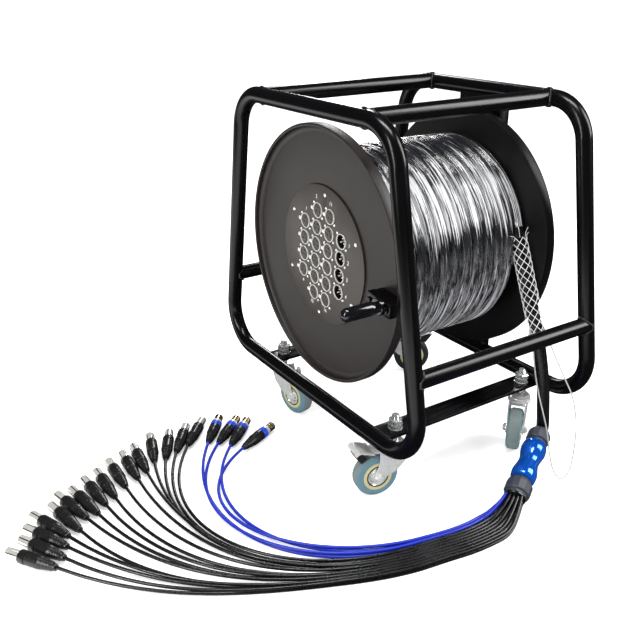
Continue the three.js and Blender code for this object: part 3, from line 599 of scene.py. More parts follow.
def gland_nut(length, radius, start):
    """A flatted nut at a distance down the breakout."""
    place = along(gland_in + breakout_direction * start, breakout_direction)
    return [(turned(shaped(gland_nut_shares, 0, length, radius), place, nut_flats), dark_moulding)]


breakout_length = (gland_out - gland_in).length
nut_in = piece("trunk_nut", gland_nut(nut_in_length, nut_in_radius, 0),
               "frame", "dark_plastic", "gland_nut_in")
nut_out = piece("tail_nut", gland_nut(nut_out_length, nut_out_radius, breakout_length - nut_out_length),
                "frame", "dark_plastic", "gland_nut_out")

barrel_length = breakout_length - nut_in_length - nut_out_length - 2 * seat
barrel_profile = [(0, 0), (0, barrel_bulge * barrel_mouth_share)]
for i in range(1, barrel_steps):
    share = i / barrel_steps
    waist = min(max((share - waist_start_share) / waist_length_share, 0), 1)
    wave = 0.5 - 0.5 * math.cos(2 * math.pi * waist)
    crown = 1 - crown_share * (2 * abs(share - 0.5)) ** crown_power
    radius = barrel_bulge * crown - (barrel_bulge - barrel_waist) * wave
    barrel_profile.append((barrel_length * share, radius))
barrel_profile += [(barrel_length, barrel_bulge * barrel_mouth_share), (barrel_length, 0)]
barrel_place = along(gland_in + breakout_direction * (nut_in_length + seat), breakout_direction)
barrel = piece("blue_barrel", [(turned(barrel_profile, barrel_place, 64), blue_gloss)],
               "frame", "blue_gloss", "breakout_barrel")


# Tails
# Sixteen black and four blue 5 mm cords leave the nut in a stack of four by five, lie down two deep on
# the floor and fan out one by one to their plugs. A rubber seal closes the nut round them.
blue_sheath = finish("blue_sheath", (0.006, 0.02, 0.36), 0.35, patches=60)

tail_radius = 0.0025
lane_pitch = 0.0053
colour_gap = 0.0012
stack = 4
black_tails = 16
plug_lift = 0.00975
bundle_steps = 24
bundle_route = [
    (-0.034, -0.314, 0.012), (-0.062, -0.321, 0.006), (-0.115, -0.321, 0.005), (-0.164, -0.313, 0.005),
    (-0.212, -0.305, 0.005), (-0.275, -0.285, 0.005), (-0.348, -0.247, 0.005),
]
# Each plug's tail end and heading in degrees, as they lie in the photograph
plug_places = [
    (-0.620, -0.065, 124), (-0.605, -0.052, 119), (-0.595, -0.031, 117), (-0.587, -0.009, 111),
    (-0.569, -0.005, 103), (-0.552, 0.017, 104), (-0.535, 0.018, 100), (-0.518, 0.033, 95),
    (-0.500, 0.043, 91), (-0.477, 0.060, 89), (-0.453, 0.070, 87), (-0.434, 0.081, 84),
    (-0.413, 0.101, 73), (-0.394, 0.099, 63), (-0.371, 0.108, 55), (-0.346, 0.117, 48),
    (-0.314, 0.105, 51), (-0.300, 0.094, 41), (-0.285, 0.077, 43), (-0.272, 0.057, 25),
]
# Shares of the bundle: where the stack lies flat, where the first and the last tail part from it, and
# where a tail's line is set down. An arc's handles reach for a share of a circle's.
spread_share = 0.3
branch_shares = (0.86, 0.56)
laid_shares = (0, 0.04, 0.08, 0.12, 0.16, 0.2, 0.25, 0.3, 0.36, 0.42, 0.48, 0.54, 0.62, 0.7, 0.78)
clear_share = 0.04
arc_share = 0.73
arc_steps = 13
tail_steps = 3
seal_depth = 0.001
seal_profile = [(0, 0), (0, 0.0165), (0.002, 0.0165), (0.003, 0.0155), (0.003, 0)]

bundle_start = gland_out + breakout_direction * seat
bundle_line = routed([bundle_start, *(at(*point) for point in bundle_route)], bundle_steps)
last_plug = len(plug_places) - 1


def on_bundle(share):
    """The bundle's middle and its direction at a share of its points."""
    whole = share * (len(bundle_line) - 1)
    index = min(int(whole), len(bundle_line) - 2)
    start, end = bundle_line[index], bundle_line[index + 1]
    return start.lerp(end, whole - index), (end - start).normalized()


def lane_place(tail, centre, tangent, spread):
    """Where a tail stands in the stack of four, which lies down into two rows of two as it spreads."""
    column, place = divmod(tail, stack)
    upper = -1 if place % 2 == 0 else 1
    member = -1 if place < 2 else 1
    black_columns = black_tails // stack
    columns = len(plug_places) / stack
    side = Vector((tangent.y, -tangent.x, 0)).normalized()
    up = side.cross(tangent).normalized()
    roll = spread * math.pi / 2
    across = (column - black_columns + 0.5) * lane_pitch * (1 + spread)
    across += colour_gap if column >= black_columns else 0
    across += (black_columns - columns / 2) * lane_pitch * (1 + spread) - colour_gap / 2
    across += member * lane_pitch / 2 * math.sin(roll)
    height = upper * lane_pitch * (1 - spread / 2) - member * lane_pitch / 2 * math.cos(roll)
    return centre + side * across + up * height


def tail_route(tail):
    """A tail's line: along the bundle to its own parting, then in one easy arc to its plug."""
    branch = branch_shares[0] + (branch_shares[1] - branch_shares[0]) * tail / last_plug
    laid = []
    for share in [s for s in laid_shares if s < branch - clear_share] + [branch]:
        centre, tangent = on_bundle(share)
        laid.append(lane_place(tail, centre, tangent, min(share / spread_share, 1)))
    x, y, heading = plug_places[tail]
    pull = Vector((math.cos(math.radians(heading)), math.sin(math.radians(heading)), 0))
    end = at(x, y, plug_lift) - pull * seat
    start = laid[-1]
    flat = on_bundle(branch)[1]
    flat.z = 0
    flat.normalize()
    turn = flat.angle(pull)
    reach = (end - start).length * arc_share * math.tan(turn / 4) / math.sin(turn / 2)
    one = start + flat * reach
    two = end - pull * reach
    two.z = tail_radius
    arc = []
    for i in range(1, arc_steps):
        t = i / arc_steps
        arc.append(start * (1 - t) ** 3 + one * 3 * t * (1 - t) ** 2 + two * 3 * t**2 * (1 - t) + end * t**3)
    line = routed([*laid, *arc, end - pull * 2 * tail_radius, end], tail_steps)
    for point in line:
        point.z = max(point.z, tail_radius)
    return line


tail_cords = []
for tail in range(len(plug_places)):
    blue = tail >= black_tails
    route = tail_route(tail)
    made = cord_curve(f"tail_{tail + 1:02d}", route, tail_radius, blue_sheath if blue else black_rubber)
    settle(made, "frame", "blue_sheath" if blue else "black_rubber")
    if tail in (0, black_tails):
        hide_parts("tails_blue" if blue else "tails_black")
    tail_cords.append((made, route))

seal_place = along(gland_out - breakout_direction * seal_depth, breakout_direction)
piece("tail_seal", [(turned(seal_profile, seal_place, 48), black_rubber)], "frame", "dark_plastic")


# Cable plugs
# Black moulded bodies with a seam and a tapering boot. Sixteen carry a silver shell round three pins, with
# black strips of painted shade for its slots, and the four with a blue ring end in a bright sleeve and a
# narrower golden nose, with three black discs of painted shade for its holes.
plug_black = finish("plug_black", (0.009, 0.0085, 0.009), 0.26, patches=120, grain=1800, depth=0.2)
plug_shell = finish("plug_shell", (0.82, 0.8, 0.75), 0.18, metallic=0.5, patches=90, grain=2200, depth=0.05)
plug_nose = finish("plug_nose", (0.96, 0.93, 0.88), 0.18, metallic=0.7, patches=90, grain=2200, depth=0.05)
plug_blue = finish("plug_blue", (0.008, 0.05, 0.5), 0.3, patches=120)
pin_gold = finish("pin_gold", (0.75, 0.6, 0.36), 0.25, metallic=1.0, grain=2500)


def mm(points):
    """Points in millimetres as points in metres."""
    return [tuple(value / 1000 for value in point) for point in points]


plug_foot = mm([(0, 0), (0, 4.5), (1.2, 5), (5.5, 5.3), (6.3, 6.3), (8.5, 6.6)])
boot_length = 0.028
boot_radius = 0.0092625
boot_groove = 0.0005
boot_groove_shares = (0.3, 0.45, 0.6, 0.75)
plug_neck = mm([(27, 9.4575), (28, 9.0675), (29, 9.0675), (29.5, 9.4575)])
# The collar, measured back from the front of the body
plug_collar = mm([
    (-12.5, 9.555), (-12, 8.58), (-10.8, 8.58), (-10.3, 9.75), (-1, 9.75), (0, 9.2625), (0, 0)])
male_front = 0.061
shell_profile = mm([(60, 0), (60, 7.2), (83.6, 7.2), (84, 6.8), (84, 6.3), (65, 6.3), (65, 0)])
latch_corners = mm([(62, -2, 6.48), (74, 2, 7.9)])
latch_edge = 0.0003
# The black strips that stand for the shell's slots, as painted shade
slot_corners = mm([(63, -0.8, 6.48), (82, 0.8, 7.3)])
slot_edge = 0.0001
slot_angles = (60, 130, 230, 300)
pin_circle = 0.0036
pin_radius = 0.0011
pin_reach = (0.065, 0.079)
female_front = 0.050
ring_band = mm([(49, 0), (49, 9.6525), (50, 9.75), (59.5, 9.75), (60, 9.4575), (60, 0)])
sleeve_profile = mm([(59, 0), (59, 9.0675), (66, 9.0675), (66.6, 8.775), (66.6, 0)])
groove_reach = (0.066, 0.0682)
groove_radius = 0.00777
nose_profile = mm([(68, 0), (68, 7.4), (83.4, 7.4), (84, 6.8), (84, 6), (83, 6), (83, 0)])
# Where the black discs sit that stand for the nose's holes, as painted shade
hole_reach = (0.0828, 0.0832)
plug_roll_step = 37


def soften(shape, edge, segments=2):
    """Rounds every edge that turns by more than the sharp angle."""
    shape.normal_update()
    edges = [e for e in shape.edges if len(e.link_faces) == 2 and e.calc_face_angle() > sharp_angle]
    if edge > 0 and edges:
        bmesh.ops.bevel(shape, geom=edges, offset=edge, segments=segments, profile=0.5, affect="EDGES",
                        clamp_overlap=True)
    return shape


def plate(outline, thickness, place=Matrix(), edge=0.0, segments=2):
    """An outline in X and Y given a thickness along Z, centred on its plane, with rounded edges."""
    shape = bmesh.new()
    low = [shape.verts.new((x, y, -thickness / 2)) for x, y in outline]
    high = [shape.verts.new((x, y, thickness / 2)) for x, y in outline]
    shape.faces.new(low[::-1])
    shape.faces.new(high)
    count = len(outline)
    for i in range(count):
        k = (i + 1) % count
        shape.faces.new((low[i], low[k], high[k], high[i]))
    bmesh.ops.recalc_face_normals(shape, faces=shape.faces)
    soften(shape, edge, segments)
    shape.transform(place)
    return shape


def block(low, high, place=Matrix(), edge=0.0):
    """A box between two corners with rounded edges."""
    outline = [(low[0], low[1]), (high[0], low[1]), (high[0], high[1]), (low[0], high[1])]
    lift = Matrix.Translation((0, 0, (low[2] + high[2]) / 2))
    return plate(outline, high[2] - low[2], place @ lift, edge)


def bar(start, end, radius):
    """The profile of a plain round bar."""
    return [(start, 0), (start, radius), (end, radius), (end, 0)]


def quarter_turns(count, axis):
    """A turn by right angles about an axis."""
    return Matrix.Rotation(count * math.pi / 2, 4, axis)


def plug_body(front):
    """The boot with its grooves, the moulded body with its seam and the glossy collar, up to a length."""
    profile = list(plug_foot)
    start, radius = plug_foot[-1]
    for share in boot_groove_shares:
        x = boot_length * share
        taper = radius + (boot_radius - radius) * (x - start) / (boot_length - start)
        profile += [(x, taper), (x + boot_groove, taper - boot_groove), (x + 2 * boot_groove, taper)]
    return [*profile, *plug_neck, *((front + x, out) for x, out in plug_collar)]


def round_pins(place, reach, look):
    """Three pins on a circle, or, when they are short, black discs of painted shade that stand for the
    mouths of three holes.
    """
    return [(turned(bar(*reach, pin_radius), place @ Matrix.Translation((0, y, z)), 14), look)
            for y, z in on_circle(3, pin_circle, math.pi / 2)]


def male_plug(place):
    """Silver shell with its latch rib, whose slots are black strips of painted shade, and three pins, on the
    black body.
    """
    parts = []
    for angle in slot_angles:
        around = place @ Matrix.Rotation(math.radians(angle), 4, "X")
        parts.append((block(*slot_corners, around, slot_edge), plug_black))
    return [*parts, (turned(plug_body(male_front), place, 36), plug_black),
            (turned(shell_profile, place, 40), plug_nose),
            (block(*latch_corners, place, latch_edge), plug_nose), *round_pins(place, pin_reach, pin_gold)]


def female_plug(place):
    """Broad blue ring, bright sleeve, dark groove and a narrower golden nose with three black discs, painted
    shade for its holes.
    """
    rings = [(plug_body(female_front), 36, plug_black), (ring_band, 40, plug_blue),
             (sleeve_profile, 40, plug_shell), (bar(*groove_reach, groove_radius), 32, plug_black),
             (nose_profile, 36, pin_gold)]
    return [*((turned(profile, place, sides), look) for profile, sides, look in rings),
            *round_pins(place, hole_reach, plug_black)]


for index, (x, y, heading) in enumerate(plug_places):
    place = Matrix.Translation(at(x, y, plug_lift)) @ Matrix.Rotation(math.radians(heading), 4, "Z")
    place = place @ Matrix.Rotation(math.radians(plug_roll_step * index), 4, "X")
    blue = index >= black_tails
    node_name = f"plug_{index + 1:02d}"
    plug = piece(f"cable_{node_name}", female_plug(place) if blue else male_plug(place), "frame",
                 "plug_blue" if blue else "plug_black", node_name)
    tail, route = tail_cords[index]


# Tube frame
# Two hoops bent from 25 mm steel tube and four straight tubes between them, welded and powder coated in
# gloss black. The weld beads show at the ends of the straight tubes, with the coat rubbed thin on them.
black_paint = finish("black_paint", (0.0015, 0.0014, 0.0018), 0.22, specular=0.3, drift=0.4, patches=14,
                     grain=420, depth=0.05)
weld_worn = finish("weld_worn", (0.03, 0.03, 0.03), 0.22, metallic=0.3, drift=1.9, patches=260, depth=0.4)

tube_radius = 0.0125
tube_sides = 36
hoop_spacing = hoops[1][0].x - hoops[0][0].x
hoop_lift = 0.1145
hoop_top = hoops[0][1].z - tube_radius
hoop_bottom_depth = 0.5525
hoop_top_depth = 0.3948
hoop_bend = 0.064
bend_steps = 14
top_tube_offset = 0.133
low_tube_height = 0.241
side_lean = (hoop_bottom_depth - hoop_top_depth) / 2 / (hoop_top - hoop_lift)
low_tube_offset = hoop_bottom_depth / 2 - (low_tube_height - hoop_lift) * side_lean
# Each straight tube's place across and up, and the angle at which it meets the hoops
straight_tubes = {
    "top_tube_front": (-top_tube_offset, hoop_top, math.pi / 2),
    "top_tube_rear": (top_tube_offset, hoop_top, math.pi / 2),
    "low_tube_front": (-low_tube_offset, low_tube_height, 0.0),
    "low_tube_rear": (low_tube_offset, low_tube_height, 0.0),
}
entry_share = 0.35
weld_count = 46
weld_radius = 0.0017
bead_rings = 6
bead_sides = 8
weld_proud = 0.0009
weld_lift = 0.0006


def hoop_line(x):
    """The hoop's middle line: a trapezium with four round corners."""
    low, high = hoop_bottom_depth / 2, hoop_top_depth / 2
    corners = [Vector((-low, hoop_lift)), Vector((low, hoop_lift)), Vector((high, hoop_top)),
               Vector((-high, hoop_top))]
    line = []
    for i, here in enumerate(corners):
        before = (corners[i - 1] - here).normalized()
        after = (corners[(i + 1) % 4] - here).normalized()
        angle = before.angle(after)
        middle = (before + after).normalized()
        centre = here + middle * hoop_bend / math.sin(angle / 2)
        start = math.atan2(-middle.y, -middle.x) - (math.pi - angle) / 2
        for k in range(bend_steps + 1):
            a = start + (math.pi - angle) * k / bend_steps
            line.append(Vector((x, centre.x + hoop_bend * math.cos(a), centre.y + hoop_bend * math.sin(a))))
    return line


def copies_on_points():
    """Geometry tree: one unit on every point, turned by the point's own angles."""
    tree, given, out = new_tree("copies_on_points", [("Unit", "NodeSocketObject", None)])
    unit = node(tree, "GeometryNodeObjectInfo", {"Object": given["Unit"]}).outputs["Geometry"]
    angles = node(tree, "GeometryNodeInputNamedAttribute", {"Name": "turn"}, data_type="FLOAT_VECTOR")
    cloud = node(tree, "GeometryNodeMeshToPoints", {"Mesh": given["Geometry"]})
    placed = node(tree, "GeometryNodeInstanceOnPoints", {
        "Points": cloud, "Instance": unit, "Rotation": angles})
    return end_tree(tree, given, out, placed)


copy_tree = copies_on_points()


def copies(name, places, unit, look):
    """Copies of a shape at matrices, as one plain mesh object."""
    unit_object = linked("unit", joined_mesh("unit", [(unit, look)]))
    base = linked("places", bpy.data.meshes.new("places"))
    base.data.from_pydata([m.translation[:] for m in places], [], [])
    turns = base.data.attributes.new("turn", "FLOAT_VECTOR", "POINT")
    for i, matrix in enumerate(places):
        turns.data[i].vector = matrix.to_euler()[:]
    made = grown(name, base, copy_tree, {"Unit": unit_object, "Finish": look})
    bpy.data.objects.remove(unit_object)
    return made


def weld_places(x, side, y, z, lean):
    """Points round the joint of a straight tube with a hoop of the same diameter."""
    reach = tube_radius + weld_proud
    normal = Vector((0, math.cos(lean), math.sin(lean)))
    places = []
    for i in range(weld_count):
        a = 2 * math.pi * i / weld_count
        offset = Vector((0, math.cos(a), math.sin(a))) * reach
        aside = min(abs(offset.dot(normal)), tube_radius)
        depth = math.sqrt(max(tube_radius**2 - aside**2, 0)) + weld_lift
        place = Vector((x + side * depth, y, z)) + offset
        places.append(Matrix.Translation(place) @ Matrix.Rotation(a, 4, "X"))
    return places


hoop_x = {"left": middle_x - hoop_spacing / 2, "right": middle_x + hoop_spacing / 2}
for side, x in hoop_x.items():
    piece(f"painted_hoop_{side}", [(swept(hoop_line(x), tube_radius, tube_sides, closed=True), black_paint)],
          "frame", "black_paint", f"hoop_{side}")

beads = []
for name, (y, z, lean) in straight_tubes.items():
    reach = hoop_spacing / 2 - tube_radius * entry_share
    ends = [at(-reach, y, z), at(reach, y, z)]
    line = [ends[0], ends[0].lerp(ends[1], 0.5), ends[1]]
    piece(f"painted_{name}", [(swept(line, tube_radius, tube_sides), black_paint)],
          "frame", "black_paint", name)
    beads += weld_places(hoop_x["left"], 1, y, z, lean) + weld_places(hoop_x["right"], -1, y, z, lean)
bead_angles = [math.pi * i / bead_rings for i in range(bead_rings + 1)]
bead_profile = [(-weld_radius * math.cos(a), weld_radius * math.sin(a)) for a in bead_angles]
bead = turned(bead_profile, quarter_turns(-1, "Y"), bead_sides)
settle(copies("weld_beads", beads, bead, weld_worn), "frame", "black_paint")


# Caster bars, post and spindle
# Flat steel across the hoops carries the casters, and a flat post in the right hoop carries the fixed
# spindle. All edges are broken before painting.
bright_steel = finish("bright_steel", (0.6, 0.6, 0.61), 0.25, metallic=0.8, patches=120, grain=1800)

bar_edge = 0.0008
post_edge = 0.0012
flat_angle = math.radians(1)
post_low, post_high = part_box("drum_post")
shaft_radius = 0.0125
shaft_edge = 0.001
collar_radius = 0.030
collar_length = 0.007
collar_edge = 0.0008
collar_face = post_low.x - seat
shaft_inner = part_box("spindle")[0].x
spindle_profile = [
    (shaft_inner, 0), (shaft_inner, shaft_radius - shaft_edge), (shaft_inner + shaft_edge, shaft_radius),
    (collar_face - collar_length, shaft_radius), (collar_face - collar_length, collar_radius - collar_edge),
    (collar_face - collar_length + collar_edge, collar_radius), (collar_face - collar_edge, collar_radius),
    (collar_face, collar_radius - collar_edge), (collar_face, shaft_radius),
    (post_high.x - shaft_edge, shaft_radius), (post_high.x, shaft_radius - shaft_edge), (post_high.x, 0)]


def eased(name, node_name, edge):
    """A painted copy of a construction piece with its flat faces joined and its edges rounded."""
    shape = bmesh.new()
    shape.from_mesh(frame["nodes"][node_name].data)
    bmesh.ops.remove_doubles(shape, verts=shape.verts, dist=least_span)
    bmesh.ops.dissolve_limit(shape, angle_limit=flat_angle, verts=shape.verts, edges=shape.edges)
    return piece(name, [(soften(shape, edge), black_paint)], "frame", "black_paint", node_name)


eased("painted_bar_front", "caster_bar_front", bar_edge)
eased("painted_bar_rear", "caster_bar_rear", bar_edge)
eased("painted_post", "drum_post", post_edge)
piece("turned_spindle", [(turned(spindle_profile, Matrix.Translation((0, 0, axle.z)), 48), bright_steel)],
      "frame", "bright_steel", "spindle")


# Drum
# Two pressed flanges with a turned-out lip are bolted to a barrel. They are coated in a matt brown-black
# with a soft sheen. The right one's coat is darker, as painted shade between the flanges, because it looks
# nearly black in the photograph.
flange_coat = finish("flange_coat", (0.0125, 0.0082, 0.0066), 0.46, specular=0.6, drift=0.25,
                     rough_drift=0.1, patches=9, grain=1600, depth=0.18)
# A darker copy of the flange coat: painted shade for the right flange
painted_shade_coat = finish("painted_shade_coat", (0.0035, 0.003, 0.003), 0.42, specular=0.35, drift=0.25, patches=9,
                     grain=1600, depth=0.18)

drum_turn = math.radians(5.4)
drum = Matrix.Translation((middle_x, 0, axle.z)) @ Matrix.Rotation(drum_turn, 4, "X")
flange_web = 0.006
flange_edge = 0.0012
left_web = -0.1472
right_web = 0.125
bore_radius = shaft_radius + seat
boss_radius = 0.028
boss_end = collar_face - middle_x - collar_length - seat
# The left flange has an opening for the panel, and its lip turns out past the panel's face
left_profile = mm([
    (-141.2, 92), (-147.2, 92), (-147.2, 188), (-148.7, 192), (-151.2, 195), (-157.5, 195), (-157.5, 200),
    (-141.2, 200)])
right_profile = [
    (right_web, bore_radius),
    *mm([(125, 200), (142.5, 200), (142.5, 195), (135, 195), (131, 189), (131, 28)]),
    (boss_end, boss_radius), (boss_end, bore_radius)]
bolt_count = 6
bolt_circle = 0.075
bolt_profile = mm([(0, 0), (0, 6.5), (0.8, 6.9), (4.2, 6.9), (5, 6.2), (5, 0)])
barrel_radius = 0.1385
barrel_wall = 0.004
drum_barrel_edge = 0.0006
hub_wall = 0.008
hub_length = 0.095
hub_cap = 0.006
hub_inner = right_web - seat - hub_length
barrel_left = left_web + flange_web + seat
drum_barrel_profile = [
    (barrel_left, barrel_radius - barrel_wall), (barrel_left, barrel_radius),
    (right_web - seat, barrel_radius), (right_web - seat, bore_radius), (hub_inner + hub_cap, bore_radius),
    (hub_inner + hub_cap, 0), (hub_inner, 0), (hub_inner, bore_radius + hub_wall),
    (right_web - flange_web, bore_radius + hub_wall), (right_web - flange_web, barrel_radius - barrel_wall)]
# A corner is cut by no more than this share of the shorter line beside it
corner_share = 1 / 2.2


def rounded(points, reach):
    """A profile with every corner cut twice, so that it reads as a rounded edge."""
    made = [points[0]]
    for before, here, after in zip(points, points[1:], points[2:]):
        start, corner, end = Vector(before), Vector(here), Vector(after)
        one, two = [corner + (far - corner).normalized() * min(reach, (far - corner).length * corner_share)
                    for far in (start, end)]
        made += [tuple(one), tuple((one + two + 2 * corner) / 4), tuple(two)]
    made.append(points[-1])
    return made


def ringed(points, reach):
    """A closed profile with rounded corners."""
    made = rounded([points[-1], *points, points[0]], reach)[1:-1]
    return [*made, made[0]]


piece("coated_flange_left", [(turned(ringed(left_profile, flange_edge), drum, 160), flange_coat)],
      "drum", "matt_black", "flange_left")

# The right flange takes the darker coat, which is painted shade
right_parts = [(turned(ringed(right_profile, flange_edge), drum, 160), painted_shade_coat)]
for y, z in on_circle(bolt_count, bolt_circle, math.pi / bolt_count):
    head = drum @ Matrix.Translation((right_web + flange_web, y, z))
    right_parts.append((turned(bolt_profile, head, 6), bright_steel))
piece("coated_flange_right", right_parts, "drum", "matt_black", "flange_right")

piece("coated_barrel", [(turned(ringed(drum_barrel_profile, drum_barrel_edge), drum, 96), flange_coat)],
      "drum", "matt_black", "drum_barrel")


# Socket panel
# A round plate screwed over the flange's opening carries sixteen female sockets with latches and four
# male ones, mounted from behind, with plain numbers printed beside the rows.
panel_coat = finish("panel_coat", (0.038, 0.032, 0.028), 0.42, specular=0.6, drift=0.25, patches=12,
                    grain=1500, depth=0.15)
socket_ring = finish("socket_ring", (0.8, 0.78, 0.73), 0.22, metallic=0.5, grain=2200)
socket_insert = finish("socket_insert", (0.035, 0.033, 0.032), 0.4, patches=200, grain=2200)
socket_dark = finish("socket_dark", (0.004, 0.004, 0.004), 0.5)
latch_metal = finish("latch_metal", (0.8, 0.76, 0.64), 0.35, metallic=0.4, patches=200)
screw_metal = finish("screw_metal", (0.85, 0.85, 0.84), 0.2, metallic=0.5, grain=2400)
number_ink = finish("number_ink", (0.75, 0.75, 0.73), 0.6)

panel_radius = 0.110
panel_thickness = 0.002
panel_face = left_web - seat - panel_thickness
panel_edge = 0.0004
column_pitch = 0.0328
row_pitch = 0.0274
column_shares = (1.5, 0.5, -0.5, -1.5)
row_shares = (2.5, 1.5, 0.5, -0.5, -1.5, -2.5)
columns = [share * column_pitch for share in column_shares]
rows = [share * row_pitch for share in row_shares]
female_places = [(columns[0], z) for z in rows[1:-1]]
female_places += [(y, z) for y in columns[1:3] for z in rows]
male_places = [(columns[3], z) for z in rows[1:-1]]
hole_profile = mm([(-4, 0), (-4, 11.5), (4, 11.5), (4, 0)])
ring_profile = mm([(2, 11.9), (2, 10.8), (-12, 10.8), (-12, 11.9)])
insert_profile = mm([(-10, 0), (-10, 10.7), (0.5, 10.7), (0.5, 0)])
contact_circle = 0.0046
contact_profile = mm([(-8, 0), (-8, 1.4), (2, 1.4), (2, 0)])
key_corners = mm([(-3, -10.5, -1.1), (2, -8.2, 1.1)])
cup_profile = mm([(-11.2, 0), (-11.2, 10.7), (0.2, 10.7), (0.2, 9.9), (-10.4, 9.9), (-10.4, 0)])
pin_profile = mm([(-10.6, 0), (-10.6, 1.3), (-1.8, 1.3), (-0.8, 0.6), (-0.8, 0)])
latch_outline = mm([
    (-2.6, -2.6), (-1.2, -3.4), (1.2, -3.4), (2.6, -2.6), (2.6, 2.6), (1.2, 3.4), (-1.2, 3.4), (-2.6, 2.6)])
latch_thickness = 0.0022
latch_rounding = 0.0005
latch_place = (0.0011, -0.0143, 0)
screw_offset = (0.012, 0.0095)
screw_profile = mm([(0, 0), (0, 2.2), (0.6, 2), (1.1, 1.2), (1.2, 0)])
screw_edge = 0.0001
panel_screw_circle = 0.097
panel_screw_count = 6
panel_screw_profile = mm([(0, 0), (0, 3), (0.7, 2.8), (1.2, 1.8), (1.3, 0)])
panel_screw_edge = 0.0002
number_size = 0.0085
number_depth = 0.00006
number_proud = 0.00008
# How far the numbers stand above and below the columns, beside the male ones and to the side
above_row, below_row, under_row, beside_row = 0.0195, 0.0195, 0.0185, 0.0195
five_aside, ten_aside = 0.006, 0.005
labels = [("1", columns[0], rows[1] + above_row), ("4", columns[0], rows[-2] - below_row),
          ("5", columns[1] + five_aside, rows[0] + above_row),
          ("10", columns[1] + ten_aside, rows[-1] - under_row),
          ("11", columns[2], rows[0] + above_row), ("16", columns[2], rows[-1] - under_row)]
labels += [(str(i + 1), columns[3] - beside_row, z) for i, z in enumerate(rows[1:-1])]


def on_panel(y, z, proud=0.0):
    """The matrix of a point on the panel's face, with X pointing out of it."""
    return drum @ Matrix.Translation((panel_face - proud, y, z)) @ quarter_turns(2, "Z")


def cut_by(made, cutters):
    """Cuts an object's mesh with shapes, and keeps its finish."""
    tool = linked("cutter", joined_mesh("cutter", [(shape, socket_dark) for shape in cutters]))
    modifier = made.modifiers.new("cut", "BOOLEAN")
    modifier.operation = "DIFFERENCE"
    modifier.solver = "EXACT"
    modifier.object = tool
    mesh = evaluated_mesh(made)
    made.modifiers.clear()
    made.data = mesh
    bpy.data.objects.remove(tool)
    mesh.set_sharp_from_angle(angle=sharp_angle)


def shape_of(mesh):
    """A mesh as a shape again."""
    shape = bmesh.new()
    shape.from_mesh(mesh)
    return shape


def number_mesh(words, matrix):
    """A thin printed number whose centre lies at a matrix on the panel."""
    data = bpy.data.curves.new("number", "FONT")
    data.body = words
    data.size = number_size
    data.align_x = "CENTER"
    data.align_y = "CENTER"
    data.extrude = number_depth
    holder = linked("number", data)
    mesh = evaluated_mesh(holder)
    bpy.data.objects.remove(holder)
    stand = Matrix(((0, 0, 1, 0), (1, 0, 0, 0), (0, 1, 0, 0), (0, 0, 0, 1)))
    mesh.transform(matrix @ stand)
    return shape_of(mesh)


panel_profile = rounded(bar(0, panel_thickness, panel_radius), panel_edge)
panel_shape = turned(panel_profile, drum @ Matrix.Translation((panel_face, 0, 0)), 144)
panel = piece("coated_panel", [(panel_shape, panel_coat)], "drum", "matt_black", "connector_panel")
females = [on_panel(y, z) for y, z in female_places]
males = [on_panel(y, z) for y, z in male_places]
cut_by(panel, [turned(hole_profile, place, 32) for place in females + males])

ring_shape = turned(ringed(ring_profile, panel_edge), sides=40)
rings = copies("socket_rings", females + males, ring_shape, socket_ring)
settle(rings, "drum", "socket_metal", "female_sockets", "male_sockets")

insert_shape = turned(rounded(insert_profile, panel_edge), sides=40)
insert_holder = linked("insert", joined_mesh("insert", [(insert_shape, socket_insert)]))
contacts = [Matrix.Translation((0, y, z)) for y, z in on_circle(3, contact_circle, -math.pi / 6)]
cut_by(insert_holder, [*(turned(contact_profile, place, 16) for place in contacts), block(*key_corners)])
insert_shape = shape_of(insert_holder.data)
bpy.data.objects.remove(insert_holder)
settle(copies("female_inserts", females, insert_shape, socket_insert), "drum", "socket_metal")

settle(copies("male_cups", males, turned(cup_profile, sides=40), socket_dark), "drum", "socket_black")
pins = [male @ contact for male in males for contact in contacts]
settle(copies("male_pins", pins, turned(pin_profile, sides=12), socket_ring), "drum", "socket_black")

latches = [place @ Matrix.Translation(latch_place) @ quarter_turns(1, "Y") for place in females]
latch_shape = plate(latch_outline, latch_thickness, edge=latch_rounding)
settle(copies("socket_latches", latches, latch_shape, latch_metal), "drum", "socket_metal")

socket_screws = [place @ Matrix.Translation((0, side * screw_offset[0], -side * screw_offset[1]))
                 for place in females + males for side in (-1, 1)]
screw_shape = turned(rounded(screw_profile, screw_edge), sides=14)
settle(copies("socket_screws", socket_screws, screw_shape, screw_metal), "drum", "socket_metal")

panel_screws = [on_panel(y, z) for y, z in on_circle(
    panel_screw_count, panel_screw_circle, math.pi / panel_screw_count)]
screw_shape = turned(rounded(panel_screw_profile, panel_screw_edge), sides=20)
settle(copies("panel_screws", panel_screws, screw_shape, screw_metal), "drum", "matt_black")

numbers = [(number_mesh(words, on_panel(y, z, number_proud)), number_ink) for words, y, z in labels]
piece("panel_numbers", numbers, "drum", "matt_black")


# Winding
# The outer layer of the trunk lies in even turns under clear film. Every turn shows white streaks, which
# are painted highlights and reflections set by the angle round the drum, and the loose film creases where
# it hangs under the drum, with painted glints in the creases.
winding_turns = 11.25
first_turn_x = -0.130
winding_steps = 96
turn_pitch = (last_turn_x - first_turn_x) / winding_turns
film_radius = 0.0103
film_sides = 24
film_ruffle = 0.0012
film_ruffles = 70.0
film_seed = 3.0
# Angle above the front in degrees, how much of the film is painted white there as highlight and
# reflection, and how far it is crumpled, which also sets its painted glints
highlight_and_crease_zones = [
    (-90, 0.65, 0.2), (-50, 0.78, 0.3), (-30, 0.7, 0.45), (-14, 0.52, 0.5), (-5, 0.3, 0.2), (9, 0.26, 0.0),
    (22, 0.72, 0.0), (46, 0.8, 0.0), (60, 0.4, 0.0), (80, 0.32, 0.0), (100, 0.5, 0.0)]
zone_start = -90
zone_length = 200
zone_drift = 0.7
